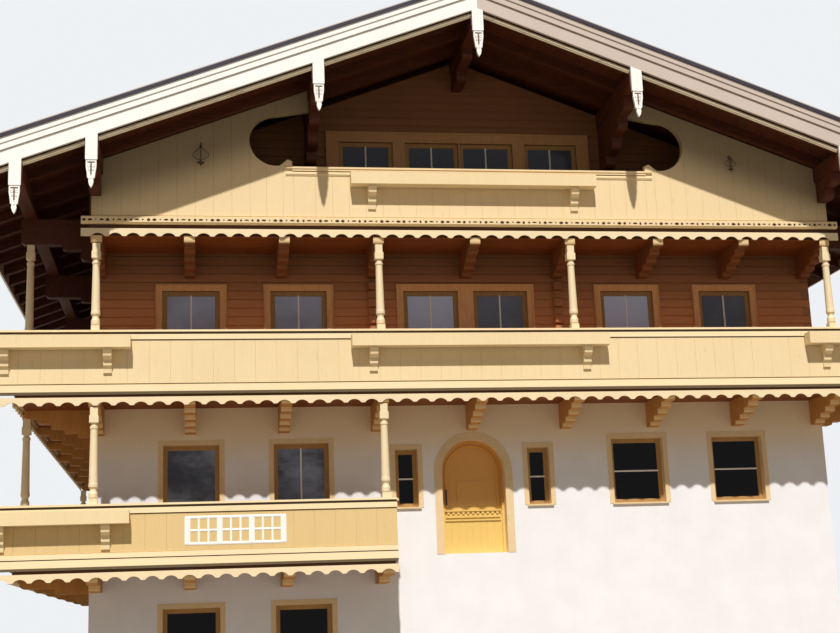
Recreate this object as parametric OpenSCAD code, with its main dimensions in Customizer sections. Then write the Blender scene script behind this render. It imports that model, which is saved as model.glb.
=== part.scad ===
// Alpine chalet: plastered lower storeys, log storey, boarded gable with a loggia, wide low roof.
// Millimetres, +Z up, X along the entrance front, which faces -Y. The origin is the centre of the base.

/* [House] */
// Width of the house over its outer walls
house_w = 14400; // [13400:100:15400]
// Depth of the house over its outer walls
house_d = 13200; // [11500:100:15000]
// Height of the lower storey, floor to floor
lower_h = 3000; // [2800:10:3300]
// Height of the entrance storey, floor to floor
first_h = 3080; // [2950:10:3300]
// Height of the log storey, floor to floor
log_storey_h = 3080; // [2950:10:3300]
// Thickness of a floor
floor_t = 280; // [200:10:320]
// Thickness of the plastered walls
masonry_t = 400; // [340:10:480]
// Thickness of the squared logs
log_t = 180; // [140:5:220]
// Height of one log course
log_course = 172; // [150:2:200]
// Depth that a floor bears in the plastered walls
bearing = 150; // [80:10:180]

/* [Windows] */
// Width of a window opening in plaster
win_w = 1060; // [900:10:1200]
// Height of a window opening in plaster
win_h = 1280; // [1100:10:1400]
// Height of the window heads over the floor in plaster
win_head = 2160; // [2050:10:2250]
// Width of the narrow windows beside the front door
narrow_w = 450; // [350:10:550]
// Height of the narrow windows
narrow_h = 1120; // [900:10:1250]
// Height of the heads of the narrow windows over the floor
narrow_head = 2010; // [1900:10:2100]
// Width of a window opening in the log walls
log_win_w = 1090; // [900:10:1200]
// Height of a window opening in the log walls
log_win_h = 1250; // [1100:10:1400]
// Height of the window heads over the floor in the log walls
log_head = 2050; // [1950:10:2150]
// Place of the outer windows from the middle of the front
win_out = 5360; // [5200:10:5500]
// Place of the inner windows from the middle of the front
win_in = 3300; // [3100:10:3500]
// Place of the narrow windows from the middle of the front
win_narrow = 1295; // [1200:5:1350]
// Place of the middle pair of balcony doors from the middle of the front
win_pair = 700; // [660:10:800]
// Width of a window frame's members
frame_w = 75; // [60:5:95]
// Depth of a window frame
frame_d = 70; // [55:5:80]
// Depth of the reveal in front of a window in plaster
reveal = 150; // [110:10:200]
// Depth of the reveal in front of a window in the log walls
log_reveal = 40; // [20:5:60]
// Thickness of the glass
glass_t = 24; // [16:2:30]
// Width of the board casings round the openings of the log storey
casing_w = 135; // [90:5:140]
// Thickness of the board casings
casing_t = 28; // [20:2:36]
// Width of the painted bands round the openings in plaster
band_w = 85; // [30:5:85]

/* [Front door] */
// Clear radius of the arched door opening
door_r = 625; // [580:5:680]
// Height of the centre of the door's arch over the floor
door_spring = 1560; // [1450:5:1600]
// Depth of the arched reveal in front of the door
door_reveal = 200; // [160:10:220]
// Width of the door frame seen beside the leaf
door_frame_w = 55; // [45:5:65]
// Depth of the door frame
door_frame_d = 85; // [80:5:100]
// Thickness of the door leaf
leaf_t = 68; // [60:2:72]
// Width of the painted band round the door's arch
door_band_w = 140; // [110:5:170]
// Height of the carved ledge over the threshold
ledge_z = 630; // [600:10:680]
// Clearance between the leaf and its frame
leaf_gap = 8; // [7:1:10]
// Radius of a hinge knuckle
knuckle_r = 16; // [14:1:20]
// Radius of a hinge pin
pin_r = 8; // [6:0.5:9]
// Radial clearance of the hinge pin
pin_gap = 0.05; // [0.02:0.01:0.1]

/* [Balconies] */
// Reach of the balconies and of the boarded gable in front of the walls
reach = 1250; // [1100:10:1400]
// Thickness of a balcony deck with its joists
deck_t = 200; // [160:10:220]
// Step from a floor down to the balcony deck
deck_drop = 30; // [20:5:50]
// Height of the lower balcony's parapet over its deck
lower_parapet_h = 1000; // [950:10:1050]
// Height of the upper balcony's parapet over its deck
upper_parapet_h = 1040; // [1000:10:1100]
// Thickness of the parapet boards
parapet_t = 45; // [35:5:60]
// Reach of the parapets' caps behind their outer face
cap_in = 145; // [130:5:170]
// Distance of the posts' middles behind the outer face of the parapets
post_inset = 70; // [60:5:80]
// Distance of the lower balcony's free end from the middle of the front
lower_balcony_end = 1680; // [1500:10:1750]
// Distance of the inner posts and their corbels from the middle
post_in = 1860; // [1800:10:1900]
// Distance of the second corbels from the middle
corbel_in = 3630; // [3550:10:3700]
// Distance of the third corbels from the middle
corbel_out = 5380; // [5300:10:5450]
// Thickness of a corbel
corbel_t = 200; // [160:10:240]
// Height of a corbel under a balcony or under the gable
corbel_h = 500; // [420:10:520]
// Width of the square blocks of a post
post_w = 150; // [130:2:156]
// Pitch of the scallops along a valance
scallop_pitch = 320; // [280:5:380]
// Depth of a scallop
scallop_d = 65; // [50:5:90]
// Height of a flower box
box_h = 230; // [180:10:260]
// Depth of a flower box
box_d = 240; // [200:10:280]
// Thickness of a flower box's boards
box_t = 30; // [20:2:36]
// Half length of the flower box in the middle of the upper balcony
balcony_box_half = 2440; // [2200:10:2600]
// Half length of the loggia's flower box
loggia_box_half = 2380; // [2200:10:2600]

/* [Gable] */
// Thickness of the boarded gable
gable_t = 120; // [90:5:150]
// Height of the loggia rail over the attic floor
loggia_rail_h = 1070; // [1000:10:1150]
// Thickness of the loggia's rail cap
rail_cap_t = 40; // [30:2:60]
// Half width of the loggia opening above its rail
loggia_half = 3460; // [3300:10:3600]
// Radius of the loggia's side lobes
lobe_r = 500; // [450:10:550]
// Distance of a lobe's centre from the middle
lobe_x = 3760; // [3700:10:3800]

/* [Roof] */
// Fall of the roof for each unit of width
roof_slope = 0.376; // [0.34:0.002:0.40]
// Height of the rafters' underside at the ridge
ridge_z = 12965; // [12900:5:13200]
// Overhang of the roof in front of the gable wall below, front and back
verge_out = 2450; // [2250:10:2600]
// Reach of the eaves beyond the side balconies
eaves_out = 1000; // [900:10:1200]
// Height of a rafter
rafter_h = 190; // [160:10:220]
// Width of a rafter
rafter_w = 140; // [100:10:160]
// Distance between the rafters
rafter_pitch = 905; // [700:5:1100]
// Height of the boarding, battens and covering together
roof_t = 400; // [360:10:480]
// Height of each of the two lower bargeboards
bargeboard_h = 260; // [230:10:280]
// Height of the metal band along the top of a verge
flashing_h = 88; // [70:2:150]
// Width of a purlin
purlin_w = 240; // [200:10:260]
// Height of a purlin
purlin_h = 260; // [220:10:300]
// Distance of the middle purlins from the ridge
purlin_mid = 3030; // [2900:10:3150]
// Height of the carved board on each purlin end
pendant_h = 970; // [850:10:1000]
// Width of the carved board on each purlin end
pendant_w = 210; // [200:10:280]
// Thickness of the carved board on each purlin end
pendant_t = 60; // [40:5:80]
// Height of the stepped corbels under the middle purlins
purlin_corbel_h = 960; // [860:10:1000]
// Reach of the stepped corbels under the middle purlins
purlin_corbel_reach = 1900; // [1700:10:2100]

/* [Hidden] */
$fn = 48;
eps = 1;
first_z = lower_h;
second_z = first_z + first_h;
attic_z = second_z + log_storey_h;
half_w = house_w/2;
half_d = house_d/2;
wall_purlin_x = half_w - purlin_w/2;
post_out = half_w - 140;
lower_deck_z = first_z - deck_drop;
upper_deck_z = second_z - deck_drop;
solid_gap = 4;
seat = 0.5;
purlin_out = half_w + reach - post_inset;
eaves_half = half_w + reach + eaves_out;
floor_half = half_w - masonry_t + bearing;
side_windows = [-4400, -1500, 1500, 4400];
back_windows = [-win_out, -1800, 1800, win_out];
front_corbels = [0, post_in, corbel_in, corbel_out, post_out];
side_corbels = [for (i = [0:6]) -half_d + 140 + i*(house_d - 280)/6];
side_posts = [for (i = [0:3]) -half_d + 140 + i*(house_d - 280)/3];
purlin_places = [-purlin_out, -wall_purlin_x, -purlin_mid, 0, purlin_mid, wall_purlin_x, purlin_out];

end_over = 320;
fascia_over = 140;
attic_casing_half = 2700;
roof_clear = 300;

// Height of the rafters' underside at a distance from the ridge
function under_roof(x) = ridge_z - roof_slope*abs(x);

// Openings in each wall: place along it, height of the head, width, height
plaster_windows = function(places, floor_z) [for (p = places) [p, floor_z + win_head, win_w, win_h]];
log_windows = function(places, floor_z) [for (p = places) [p, floor_z + log_head, log_win_w, log_win_h]];
plaster_door = function(place, floor_z) [place, floor_z + win_head, win_w, win_head - 40];
log_door = function(place, floor_z) [place, floor_z + log_head, log_win_w, log_head - 40];
lower_front_openings = plaster_windows([-win_out, -win_in], 0);
lower_back_openings = plaster_windows([win_in, win_out], 0);
lower_left_openings = plaster_windows(side_windows, 0);
narrow_openings = [for (s = [-1, 1]) [s*win_narrow, first_z + narrow_head, narrow_w, narrow_h]];
entrance_openings = concat(
    plaster_windows([-win_out, win_in, win_out], first_z),
    [plaster_door(-win_in, first_z)],
    narrow_openings
);
first_back_openings = plaster_windows(back_windows, first_z);
first_left_openings = concat(
    plaster_windows([for (i = [0, 1, 3]) side_windows[i]], first_z),
    [plaster_door(side_windows[2], first_z)]
);
first_right_openings = plaster_windows(side_windows, first_z);
log_front_openings = concat(
    log_windows([-win_out, -win_in, win_in, win_out], second_z),
    [for (s = [-1, 1]) log_door(s*win_pair, second_z)]
);
log_back_openings = log_windows(back_windows, second_z);
log_side_openings = concat(
    log_windows([for (i = [0, 1, 3]) side_windows[i]], second_z),
    [log_door(side_windows[2], second_z)]
);
attic_openings = concat(
    log_windows([-1900, 1900], attic_z),
    [for (s = [-1, 1]) log_door(s*560, attic_z)]
);
gable_back_openings = log_windows([-1800, 1800], attic_z);

// Local frame of a wall: x along it seen from outside, y inwards from its outer face
module on_wall(side) {
    turn = side == "front" ? 0 : side == "right" ? 90 : side == "back" ? 180 : -90;
    out = side == "front" || side == "back" ? half_d : half_w;
    rotate([0, 0, turn]) translate([0, -out, 0]) children();
}

module opening_cuts(openings, depth) {
    for (o = openings)
        translate([o[0] - o[2]/2, -50, o[1] - o[3]]) cube([o[2], depth + 100, o[3]]);
}

// A plastered wall with its windows and the rebate that its upper floor bears in
module plaster_wall(x0, x1, z0, z1, openings) {
    difference() {
        translate([x0, 0, z0]) cube([x1 - x0, masonry_t, z1 - z0]);
        opening_cuts(openings, masonry_t);
        translate([max(x0 - eps, -floor_half), masonry_t - bearing, z1 - floor_t])
            cube([min(x1 + eps, floor_half) - max(x0 - eps, -floor_half), bearing + eps, floor_t + eps]);
    }
}

module lower_wall_front() {
    color("white") on_wall("front") plaster_wall(-half_w, half_w, 0, first_z, lower_front_openings);
}
module lower_wall_back() {
    color("white") on_wall("back") plaster_wall(-half_w, half_w, 0, first_z, lower_back_openings);
}
module lower_wall_left() {
    color("white") on_wall("left")
        plaster_wall(masonry_t - half_d, half_d - masonry_t, 0, first_z, lower_left_openings);
}
module lower_wall_right() {
    color("white") on_wall("right") plaster_wall(masonry_t - half_d, half_d - masonry_t, 0, first_z, []);
}

// Inner half width and head of the squared reveal behind the front door
inner_half = door_r + 95;
inner_head = first_z + door_spring + door_r + 60;
door_centre_z = first_z + door_spring;

module entrance_side(s) {
    x0 = s < 0 ? -half_w : inner_half;
    x1 = s < 0 ? -inner_half : half_w;
    mine = [for (o = entrance_openings) if (s*o[0] > 0) o];
    union() {
        plaster_wall(x0, x1, first_z, second_z, mine);
        translate([s < 0 ? -inner_half : door_r, 0, first_z])
            cube([inner_half - door_r, door_reveal, door_spring]);
    }
}
module entrance_wall_left_part() {
    color("white") on_wall("front") entrance_side(-1);
}
module entrance_wall_right_part() {
    color("white") on_wall("front") entrance_side(1);
}
module entrance_wall_over_door() {
    color("white") on_wall("front") difference() {
        translate([-inner_half, 0, door_centre_z])
            cube([2*inner_half, masonry_t, second_z - door_centre_z]);
        translate([0, -50, door_centre_z]) rotate([-90, 0, 0]) cylinder(r = door_r, h = door_reveal + 60);
        translate([-inner_half - eps, door_reveal, door_centre_z - eps])
            cube([2*(inner_half + eps), masonry_t, inner_head - door_centre_z + eps]);
        translate([-inner_half - eps, masonry_t - bearing, second_z - floor_t])
            cube([2*(inner_half + eps), bearing + eps, floor_t + eps]);
    }
}
module first_wall_back() {
    color("white") on_wall("back") plaster_wall(-half_w, half_w, first_z, second_z, first_back_openings);
}
module first_wall_left() {
    color("white") on_wall("left")
        plaster_wall(masonry_t - half_d, half_d - masonry_t, first_z, second_z, first_left_openings);
}
module first_wall_right() {
    color("white") on_wall("right")
        plaster_wall(masonry_t - half_d, half_d - masonry_t, first_z, second_z, first_right_openings);
}

// Cross section of squared logs laid on each other, with a chamfer at each joint
log_chamfer = 9;
function courses(height) = round(height/log_course);
function log_face(z0, z1, side) =
    let (n = courses(z1 - z0), pitch = (z1 - z0)/n, y = side > 0 ? log_t : 0)
    [for (i = [0:n - 1], k = [0:3])
        let (
            low = z0 + i*pitch,
            high = low + pitch,
            z = [low, low + log_chamfer, high - log_chamfer, high][k],
            inset = (k == 0 || k == 3) ? log_chamfer : 0
        )
        [y - side*inset, z]];
function reversed(list) = [for (i = [len(list) - 1:-1:0]) list[i]];
module log_stack(length, z0, z1) {
    translate([-length/2, 0, 0]) rotate([90, 0, 90])
        linear_extrude(length) polygon(concat(log_face(z0, z1, -1), reversed(log_face(z0, z1, 1))));
}
// Pockets at a corner where the other wall's logs pass through
module corner_pockets(half_length, z0, z1, first) {
    n = courses(z1 - z0);
    pitch = (z1 - z0)/n;
    for (i = [first:2:n - 1], s = [-1, 1])
        translate([s*half_length - log_t, -eps, z0 + i*pitch - seat])
            cube([2*log_t, log_t + 2*eps, pitch + 2*seat]);
}
module log_wall(half_length, openings, first) {
    difference() {
        log_stack(2*half_length, second_z, attic_z);
        corner_pockets(half_length, second_z, attic_z, first);
        opening_cuts(openings, log_t);
    }
}
module log_wall_front() { color("#6b3d20") on_wall("front") log_wall(half_w, log_front_openings, 1); }
module log_wall_back() { color("#6b3d20") on_wall("back") log_wall(half_w, log_back_openings, 1); }
module log_wall_left() { color("#6b3d20") on_wall("left") log_wall(half_d, log_side_openings, 0); }
module log_wall_right() { color("#6b3d20") on_wall("right") log_wall(half_d, log_side_openings, 0); }

// Outline of a wall that fills the gable up to the rafters
module gable_outline(half, z0) {
    polygon([[-half, z0], [half, z0], [half, under_roof(half)], [0, ridge_z], [-half, under_roof(half)]]);
}
module purlin_section(x) {
    l = x - purlin_w/2;
    r = x + purlin_w/2;
    low = under_roof(x) - purlin_h;
    polygon(concat(
        [[l, low], [r, low], [r, under_roof(r) - seat]],
        x == 0 ? [[0, ridge_z - seat]] : [],
        [[l, under_roof(l) - seat]]
    ));
}
module purlin_sections() {
    for (x = purlin_places) purlin_section(x);
}
// Notches for the purlins in a wall, open at the roof and past the wall's ends
module purlin_notches() {
    for (x = [-wall_purlin_x, -purlin_mid, 0, purlin_mid, wall_purlin_x]) {
        l = x - purlin_w/2 - (x < -purlin_mid ? 200 : 0);
        r = x + purlin_w/2 + (x > purlin_mid ? 200 : 0);
        low = under_roof(x) - purlin_h;
        translate([l, low]) square([r - l, ridge_z + roof_clear - low]);
    }
}
module upright(y0, y1) {
    translate([0, y1, 0]) rotate([90, 0, 0]) linear_extrude(y1 - y0) children();
}
module attic_wall() {
    color("#5b3218") on_wall("front") difference() {
        intersection() {
            log_stack(house_w - 2*log_t, attic_z, ridge_z + log_course);
            upright(-10, log_t + 10) gable_outline(half_w + 200, attic_z - 100);
        }
        upright(-20, log_t + 20) purlin_notches();
        opening_cuts(attic_openings, log_t);
    }
}
module gable_boards_back() {
    color("#caa56a") on_wall("back") difference() {
        upright(0, log_t) difference() {
            gable_outline(half_w, attic_z);
            purlin_notches();
        }
        opening_cuts(gable_back_openings, log_t);
    }
}
module knee_walls() {
    top = under_roof(wall_purlin_x) - purlin_h;
    color("#6b3d20") for (s = [-1, 1])
        translate([s*(half_w - log_t/2) - log_t/2, -half_d - reach + gable_t, attic_z])
            cube([log_t, house_d + reach - gable_t - log_t, top - attic_z - seat]);
}

// The loggia's outline: a wide gap over the rail, a lobe on each side and a small ear of board
loggia_top = attic_z + loggia_rail_h;
loggia_z = loggia_top - rail_cap_t;
lobe_z = loggia_top + 530;
ear = [[0, 120], [70, 155], [90, 155], [240, 30], [280, -50], [0, -50]];
module loggia_outline() {
    difference() {
        union() {
            translate([-loggia_half, loggia_z]) square([2*loggia_half, lobe_z - loggia_z]);
            translate([-purlin_mid, loggia_z]) square([2*purlin_mid, ridge_z + roof_clear - loggia_z]);
            for (s = [-1, 1]) {
                translate([s*lobe_x, lobe_z]) circle(r = lobe_r);
                polygon([[0, lobe_z], [s*lobe_x, lobe_z], [s*lobe_x, lobe_z + lobe_r],
                    [s*purlin_mid, lobe_z + lobe_r + 120], [0, lobe_z + lobe_r + 120]]);
            }
        }
        for (s = [-1, 1]) polygon([for (q = ear) [s*(loggia_half + q[0] + seat), loggia_top + q[1]]]);
    }
}
module gable_boards_front() {
    color("#dcbc80") on_wall("front") upright(-reach, -reach + gable_t) difference() {
        gable_outline(half_w - 40, attic_z);
        purlin_notches();
        loggia_outline();
        for (s = [-1, 1])
            translate([s*purlin_mid - corbel_t/2, under_roof(purlin_mid) - purlin_h - purlin_steps[0]])
            square([corbel_t, purlin_steps[0] + eps]);
    }
}

// Floors
module floor_plate(inset, top, front) {
    translate([inset - half_w, inset - half_d - front, top - floor_t])
        cube([house_w - 2*inset, house_d - 2*inset + front, floor_t]);
}
module ground_slab() {
    color("silver") translate([masonry_t - half_w, masonry_t - half_d, 0])
        cube([house_w - 2*masonry_t, house_d - 2*masonry_t, 150]);
}
module first_floor() { color("silver") floor_plate(masonry_t - bearing, first_z, 0); }
module second_floor() { color("silver") floor_plate(masonry_t - bearing, second_z, 0); }
module attic_floor() {
    color("#8a5a30") difference() {
        floor_plate(0, attic_z, reach - parapet_t);
        difference() {
            translate([-half_w - eps, -half_d, attic_z - floor_t - eps])
                cube([house_w + 2*eps, house_d + eps, floor_t + 2*eps]);
            translate([log_t - half_w, -half_d - eps, attic_z - floor_t - 2*eps])
                cube([house_w - 2*log_t, house_d - log_t + eps, floor_t + 4*eps]);
        }
        translate([-half_w, -half_d, attic_z - floor_t - eps]) cube([house_w, log_t, floor_t + 2*eps]);
    }
}

// Balcony decks: the front one takes the corners, the side ones butt against it
module deck_strip(x0, x1, y0, y1, top) {
    translate([x0, y0, top - deck_t]) cube([x1 - x0, y1 - y0, deck_t]);
}
module side_deck(s, top) {
    x0 = s < 0 ? -half_w - reach + parapet_t : half_w;
    deck_strip(x0, x0 + reach - parapet_t, solid_gap - half_d, half_d - parapet_t - solid_gap, top);
}
module balcony_decks() {
    color("#c79a5c") {
        deck_strip(parapet_t - half_w - reach, -lower_balcony_end - parapet_t,
            parapet_t - half_d - reach, -half_d, lower_deck_z);
        side_deck(-1, lower_deck_z);
        deck_strip(parapet_t - half_w - reach, half_w + reach - parapet_t,
            parapet_t - half_d - reach, -half_d, upper_deck_z);
        for (s = [-1, 1]) side_deck(s, upper_deck_z);
    }
}

// Section of a parapet run, outer face at y = 0, deck top at z = 0: a band over the deck's edge, boards
// and a rail under a thin cap. The lower balcony has one more rail at the foot of its boards.
module parapet_section(height) {
    foot = height <= lower_parapet_h ? [[-30, 62], [-30, 145], [0, 152]] : [[0, 62]];
    polygon(concat(
        [[parapet_t, -127], [-10, -127], [-25, -80], [-25, 45], [10, 47], [10, 62]],
        foot,
        [[0, height - 180], [-30, height - 172], [-30, height - 76], [-6, height - 72], [-6, height - 40]],
        [[-60, height - 36], [-60, height], [cap_in, height]],
        [[cap_in, height - 36], [parapet_t, height - 50]]
    ));
}
module parapet_run(length, height) {
    rotate([90, 0, 90]) linear_extrude(length) parapet_section(height);
}
module front_run(x0, x1, z, height) {
    translate([x0, -half_d - reach, z]) parapet_run(x1 - x0, height);
}
// Side run from just behind the front run to the back corner, with a return to the wall
module side_run(s, z, height) {
    run = house_d + reach - cap_in - solid_gap;
    on_wall(s < 0 ? "left" : "right")
        translate([s < 0 ? -half_d : half_d - run, -reach, z]) parapet_run(run, height);
}
module back_return(s, z, height) {
    span = reach - cap_in - 2*solid_gap;
    translate([s < 0 ? -half_w : half_w + span, half_d, z])
        rotate([0, 0, 180]) parapet_run(span, height);
}
module lower_balcony_parapets() {
    span = reach - cap_in - 2*solid_gap;
    color("#d6b378") {
        front_run(-half_w - reach - end_over, -lower_balcony_end, lower_deck_z, lower_parapet_h);
        side_run(-1, lower_deck_z, lower_parapet_h);
        back_return(-1, lower_deck_z, lower_parapet_h);
        translate([-lower_balcony_end, -half_d - solid_gap - span, lower_deck_z])
            rotate([0, 0, 90]) parapet_run(span, lower_parapet_h);
    }
}
module upper_balcony_parapets() {
    color("#d6b378") {
        front_run(-half_w - reach - end_over, half_w + reach + end_over, upper_deck_z, upper_parapet_h);
        for (s = [-1, 1]) {
            side_run(s, upper_deck_z, upper_parapet_h);
            back_return(s, upper_deck_z, upper_parapet_h);
        }
    }
}

// Fascia under the boarded gable, in front of the attic floor's edge
module gable_fascia() {
    color("#d6b378") on_wall("front") translate([-half_w - fascia_over, 0, attic_z]) rotate([90, 0, 90])
        linear_extrude(house_w + 2*fascia_over) polygon([
            [-reach - 45, 68], [-reach, 90], [-reach, 0], [parapet_t - reach, 0],
            [parapet_t - reach, -62], [-reach - 20, -62], [-reach - 45, -45]
        ]);
    color("#d6b378") on_wall("front") translate([-loggia_half, 0, loggia_z]) rotate([90, 0, 90])
        linear_extrude(2*loggia_half) polygon([
            [-reach - 45, -35], [-reach, -35], [-reach, 0], [gable_t - reach + 20, 0],
            [gable_t - reach + 20, rail_cap_t], [-reach - 60, rail_cap_t], [-reach - 60, 5], [-reach - 45, 0]
        ]);
}

// Hanging boards with a scalloped lower edge, on a ledge from the deck's edge
valance_h = 148;
ledge_t = 16;
valance_t = 28;
module valance(length) {
    n = floor(length/scallop_pitch);
    half_cut = 0.39*scallop_pitch;
    r = (half_cut*half_cut + scallop_d*scallop_d)/(2*scallop_d);
    start = (length - (n - 1)*scallop_pitch)/2;
    translate([0, valance_t, 0]) rotate([90, 0, 0]) linear_extrude(valance_t) difference() {
        translate([0, -valance_h]) square([length, valance_h]);
        for (i = [0:n - 1]) translate([start + i*scallop_pitch, -valance_h + scallop_d - r]) circle(r = r);
    }
    translate([0, eps, -ledge_t]) cube([length, valance_t + parapet_t - eps, ledge_t]);
}
module side_valance(s, top) {
    behind = parapet_t + 2*solid_gap;
    on_wall(s < 0 ? "left" : "right")
        translate([s < 0 ? -half_d : -half_d - reach + behind, -reach - valance_t, top])
        valance(house_d + reach - behind);
}
module valances() {
    full = house_w + 2*(reach + end_over);
    upper_top = upper_deck_z - deck_t + ledge_t + 2;
    lower_top = lower_deck_z - deck_t + ledge_t + 2;
    color("#e6d3a6") {
        translate([-full/2, -half_d - reach - valance_t, upper_top]) valance(full);
        translate([-full/2, -half_d - reach - valance_t, lower_top])
            valance(full/2 - lower_balcony_end);
        translate([-half_w - fascia_over, -half_d - reach - valance_t, attic_z - 155])
            valance(house_w + 2*fascia_over);
        for (s = [-1, 1]) side_valance(s, upper_top);
        side_valance(-1, lower_top);
    }
}

// A corbel: logs stepped back under each other, each with a rounded nose
module corbel_profile(lengths, heights, nose) {
    for (i = [0:len(heights) - 1]) {
        top = -sum_to(heights, i);
        h = heights[i];
        r = min(0.5*h, nose);
        l = lengths[i];
        translate([-l + r, top - h]) square([l - r, h]);
        translate([-l, top - h + r]) square([r, h - r]);
        translate([-l + r, top - h + r]) circle(r = r);
    }
}
function sum_to(list, i) = i <= 0 ? 0 : list[i - 1] + sum_to(list, i - 1);
module stepped(lengths, heights, nose) {
    translate([-corbel_t/2, 0, 0]) rotate([90, 0, 90])
        linear_extrude(corbel_t) corbel_profile(lengths, heights, nose);
}
module corbel(length, heights) {
    n = len(heights);
    stepped([for (i = [0:n - 1]) length*(n - i)/n], heights, corbel_h);
}
corbel_steps = [for (k = [0.3, 0.19, 0.19, 0.17, 0.15]) k*corbel_h];
purlin_steps = [for (k = [0.27, 0.25, 0.25, 0.23]) k*purlin_corbel_h];
low_corbel_steps = [for (k = [0.36, 0.22]) k*corbel_h];
corbel_reach = reach - 20;
module front_row(places, top, steps) {
    on_wall("front") for (x = places) translate([x, 0, top]) corbel(corbel_reach, steps);
}
function both(list) = concat([for (i = [len(list) - 1:-1:1]) -list[i]], list);
module side_row(side, top, steps) {
    on_wall(side) for (x = side_corbels) translate([x, 0, top]) corbel(corbel_reach, steps);
}
module corbels() {
    color("#8a5a30") {
        front_row([for (i = [4:-1:1]) -front_corbels[i]], lower_deck_z - deck_t, low_corbel_steps);
        side_row("left", lower_deck_z - deck_t, low_corbel_steps);
        front_row(both(front_corbels), upper_deck_z - deck_t, corbel_steps);
        side_row("left", upper_deck_z - deck_t, corbel_steps);
        side_row("right", upper_deck_z - deck_t, corbel_steps);
        front_row(both(front_corbels), attic_z - floor_t, corbel_steps);
    }
}

// A turned post: a square foot, a round base with a cove, a tapering shaft, rings and a square capital
module post(height) {
    k = post_w/150;
    foot = 100*k;
    cap = post_w + 12;
    neck = post_w - 16;
    rotate_extrude() polygon([
        [0, foot - eps], [66*k, foot - eps], [80*k, foot + 22*k], [80*k, foot + 90*k], [60*k, foot + 145*k],
        [60*k, foot + 170*k], [84*k, foot + 210*k], [84*k, foot + 258*k], [78*k, foot + 280*k],
        [64*k, height - 400*k], [74*k, height - 385*k], [74*k, height - 345*k], [52*k, height - 320*k],
        [52*k, height - 300*k], [62*k, height - 280*k + eps], [0, height - 280*k + eps]
    ]);
    translate([-post_w/2, -post_w/2, 0]) cube([post_w, post_w, foot]);
    translate([-cap/2, -cap/2, height - 280*k]) cube([cap, cap, 130*k]);
    translate([-neck/2, -neck/2, height - 150*k - eps]) cube([neck, neck, 150*k + eps - seat]);
}
module front_posts(places, foot, top) {
    for (x = places) translate([x, -half_d - reach + post_inset, foot]) post(top - foot);
}
module side_post_row(s, foot, top) {
    for (y = [side_posts[0], side_posts[3]])
        translate([s*(half_w + reach - post_inset), y, foot]) post(top - foot);
}
lower_rail_z = lower_deck_z + lower_parapet_h;
upper_rail_z = upper_deck_z + upper_parapet_h;
module posts() {
    lower_top = upper_deck_z - deck_t - corbel_steps[0];
    upper_top = attic_z - floor_t - corbel_steps[0];
    color("#eadcb8") {
        front_posts([-post_out, -post_in], lower_rail_z, lower_top);
        side_post_row(-1, lower_rail_z, lower_top);
        front_posts([-post_out, -post_in, post_in, post_out], upper_rail_z, upper_top);
        for (s = [-1, 1]) side_post_row(s, upper_rail_z, eaves_seat - beam_steps[0]);
    }
}

// Roof timbers
module purlins() {
    color("#7a4a26") upright(-half_d - verge_out + pendant_t, half_d + verge_out - pendant_t)
        purlin_sections();
}
eaves_seat = under_roof(purlin_out) - purlin_h;
beam_steps = [494, 100, 210];
beam_reach = purlin_out - half_w + 180;
module purlin_corbels() {
    low = under_roof(purlin_mid) - purlin_h;
    color("#6b3d20") {
        on_wall("front") {
            for (s = [-1, 1]) translate([s*purlin_mid, 0, low - seat])
                corbel(purlin_corbel_reach, purlin_steps);
            translate([0, 0, ridge_z - purlin_h - seat])
                corbel(0.7*purlin_corbel_reach, [for (i = [1, 2]) 0.8*purlin_steps[i]]);
        }
        on_wall("front") for (s = [-1, 1])
            translate([s*wall_purlin_x, -reach, under_roof(wall_purlin_x) - purlin_h - seat])
                stepped([750, 400], [220, 200], 90);
        for (side = ["left", "right"]) on_wall(side) for (x = side_posts)
            translate([x, 0, eaves_seat - seat])
                stepped([for (k = [1, 0.434, 0.184]) k*beam_reach], beam_steps, 90);
    }
}
module pendant_outline(x) {
    w = pendant_w/2;
    fall = roof_slope*w;
    side_top = x > 0 ? [[-w, fall], [w, -fall]] : [[-w, -fall], [w, fall]];
    top = x == 0 ? [[-w, -fall], [0, 0], [w, -fall]] : side_top;
    side = [
        [1, 0.455], [0.8, 0.465], [0.88, 0.5], [0.88, 0.6], [0.7, 0.72], [0.62, 0.81], [0.34, 0.83],
        [0.44, 0.88], [0.28, 0.95]
    ];
    polygon(concat(
        top,
        [for (q = side) [q[0]*w, -q[1]*pendant_h]],
        [[0, -pendant_h]],
        [for (i = [len(side) - 1:-1:0]) [-side[i][0]*w, -side[i][1]*pendant_h]]
    ));
}
module purlin_pendants() {
    color("#f2ead8") for (s = [-1, 1], x = purlin_places)
        translate([x, s > 0 ? half_d + verge_out : -half_d - verge_out + pendant_t, under_roof(x) + 70])
            rotate([90, 0, 0]) linear_extrude(pendant_t) pendant_outline(x);
}
rafter_run = house_d + 2*verge_out - 2*pendant_t - rafter_w - 120;
rafter_count = round(rafter_run/rafter_pitch) + 1;
function rafter_y(i) = (i/(rafter_count - 1) - 0.5)*rafter_run;
module slope_band(s, x1, low, high) {
    foot = under_roof(x1);
    polygon([[0, ridge_z + low], [s*x1, foot + low], [s*x1, foot + high], [0, ridge_z + high]]);
}
module rafters() {
    color("#7a4a26") for (s = [-1, 1], i = [0:rafter_count - 1])
        upright(rafter_y(i) - rafter_w/2, rafter_y(i) + rafter_w/2)
            intersection() {
                slope_band(s, eaves_half - 60, 0, rafter_h - seat);
                translate([s > 0 ? 2 : -eaves_half - 2, 0]) square([eaves_half, ridge_z + 500]);
            }
}
module roof_slab(s) {
    color("#4a4f57") upright(pendant_t - half_d - verge_out, half_d + verge_out - pendant_t)
        slope_band(s, eaves_half, rafter_h, rafter_h + roof_t);
}
module roof_left() { roof_slab(-1); }
module roof_right() { roof_slab(1); }
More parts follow.
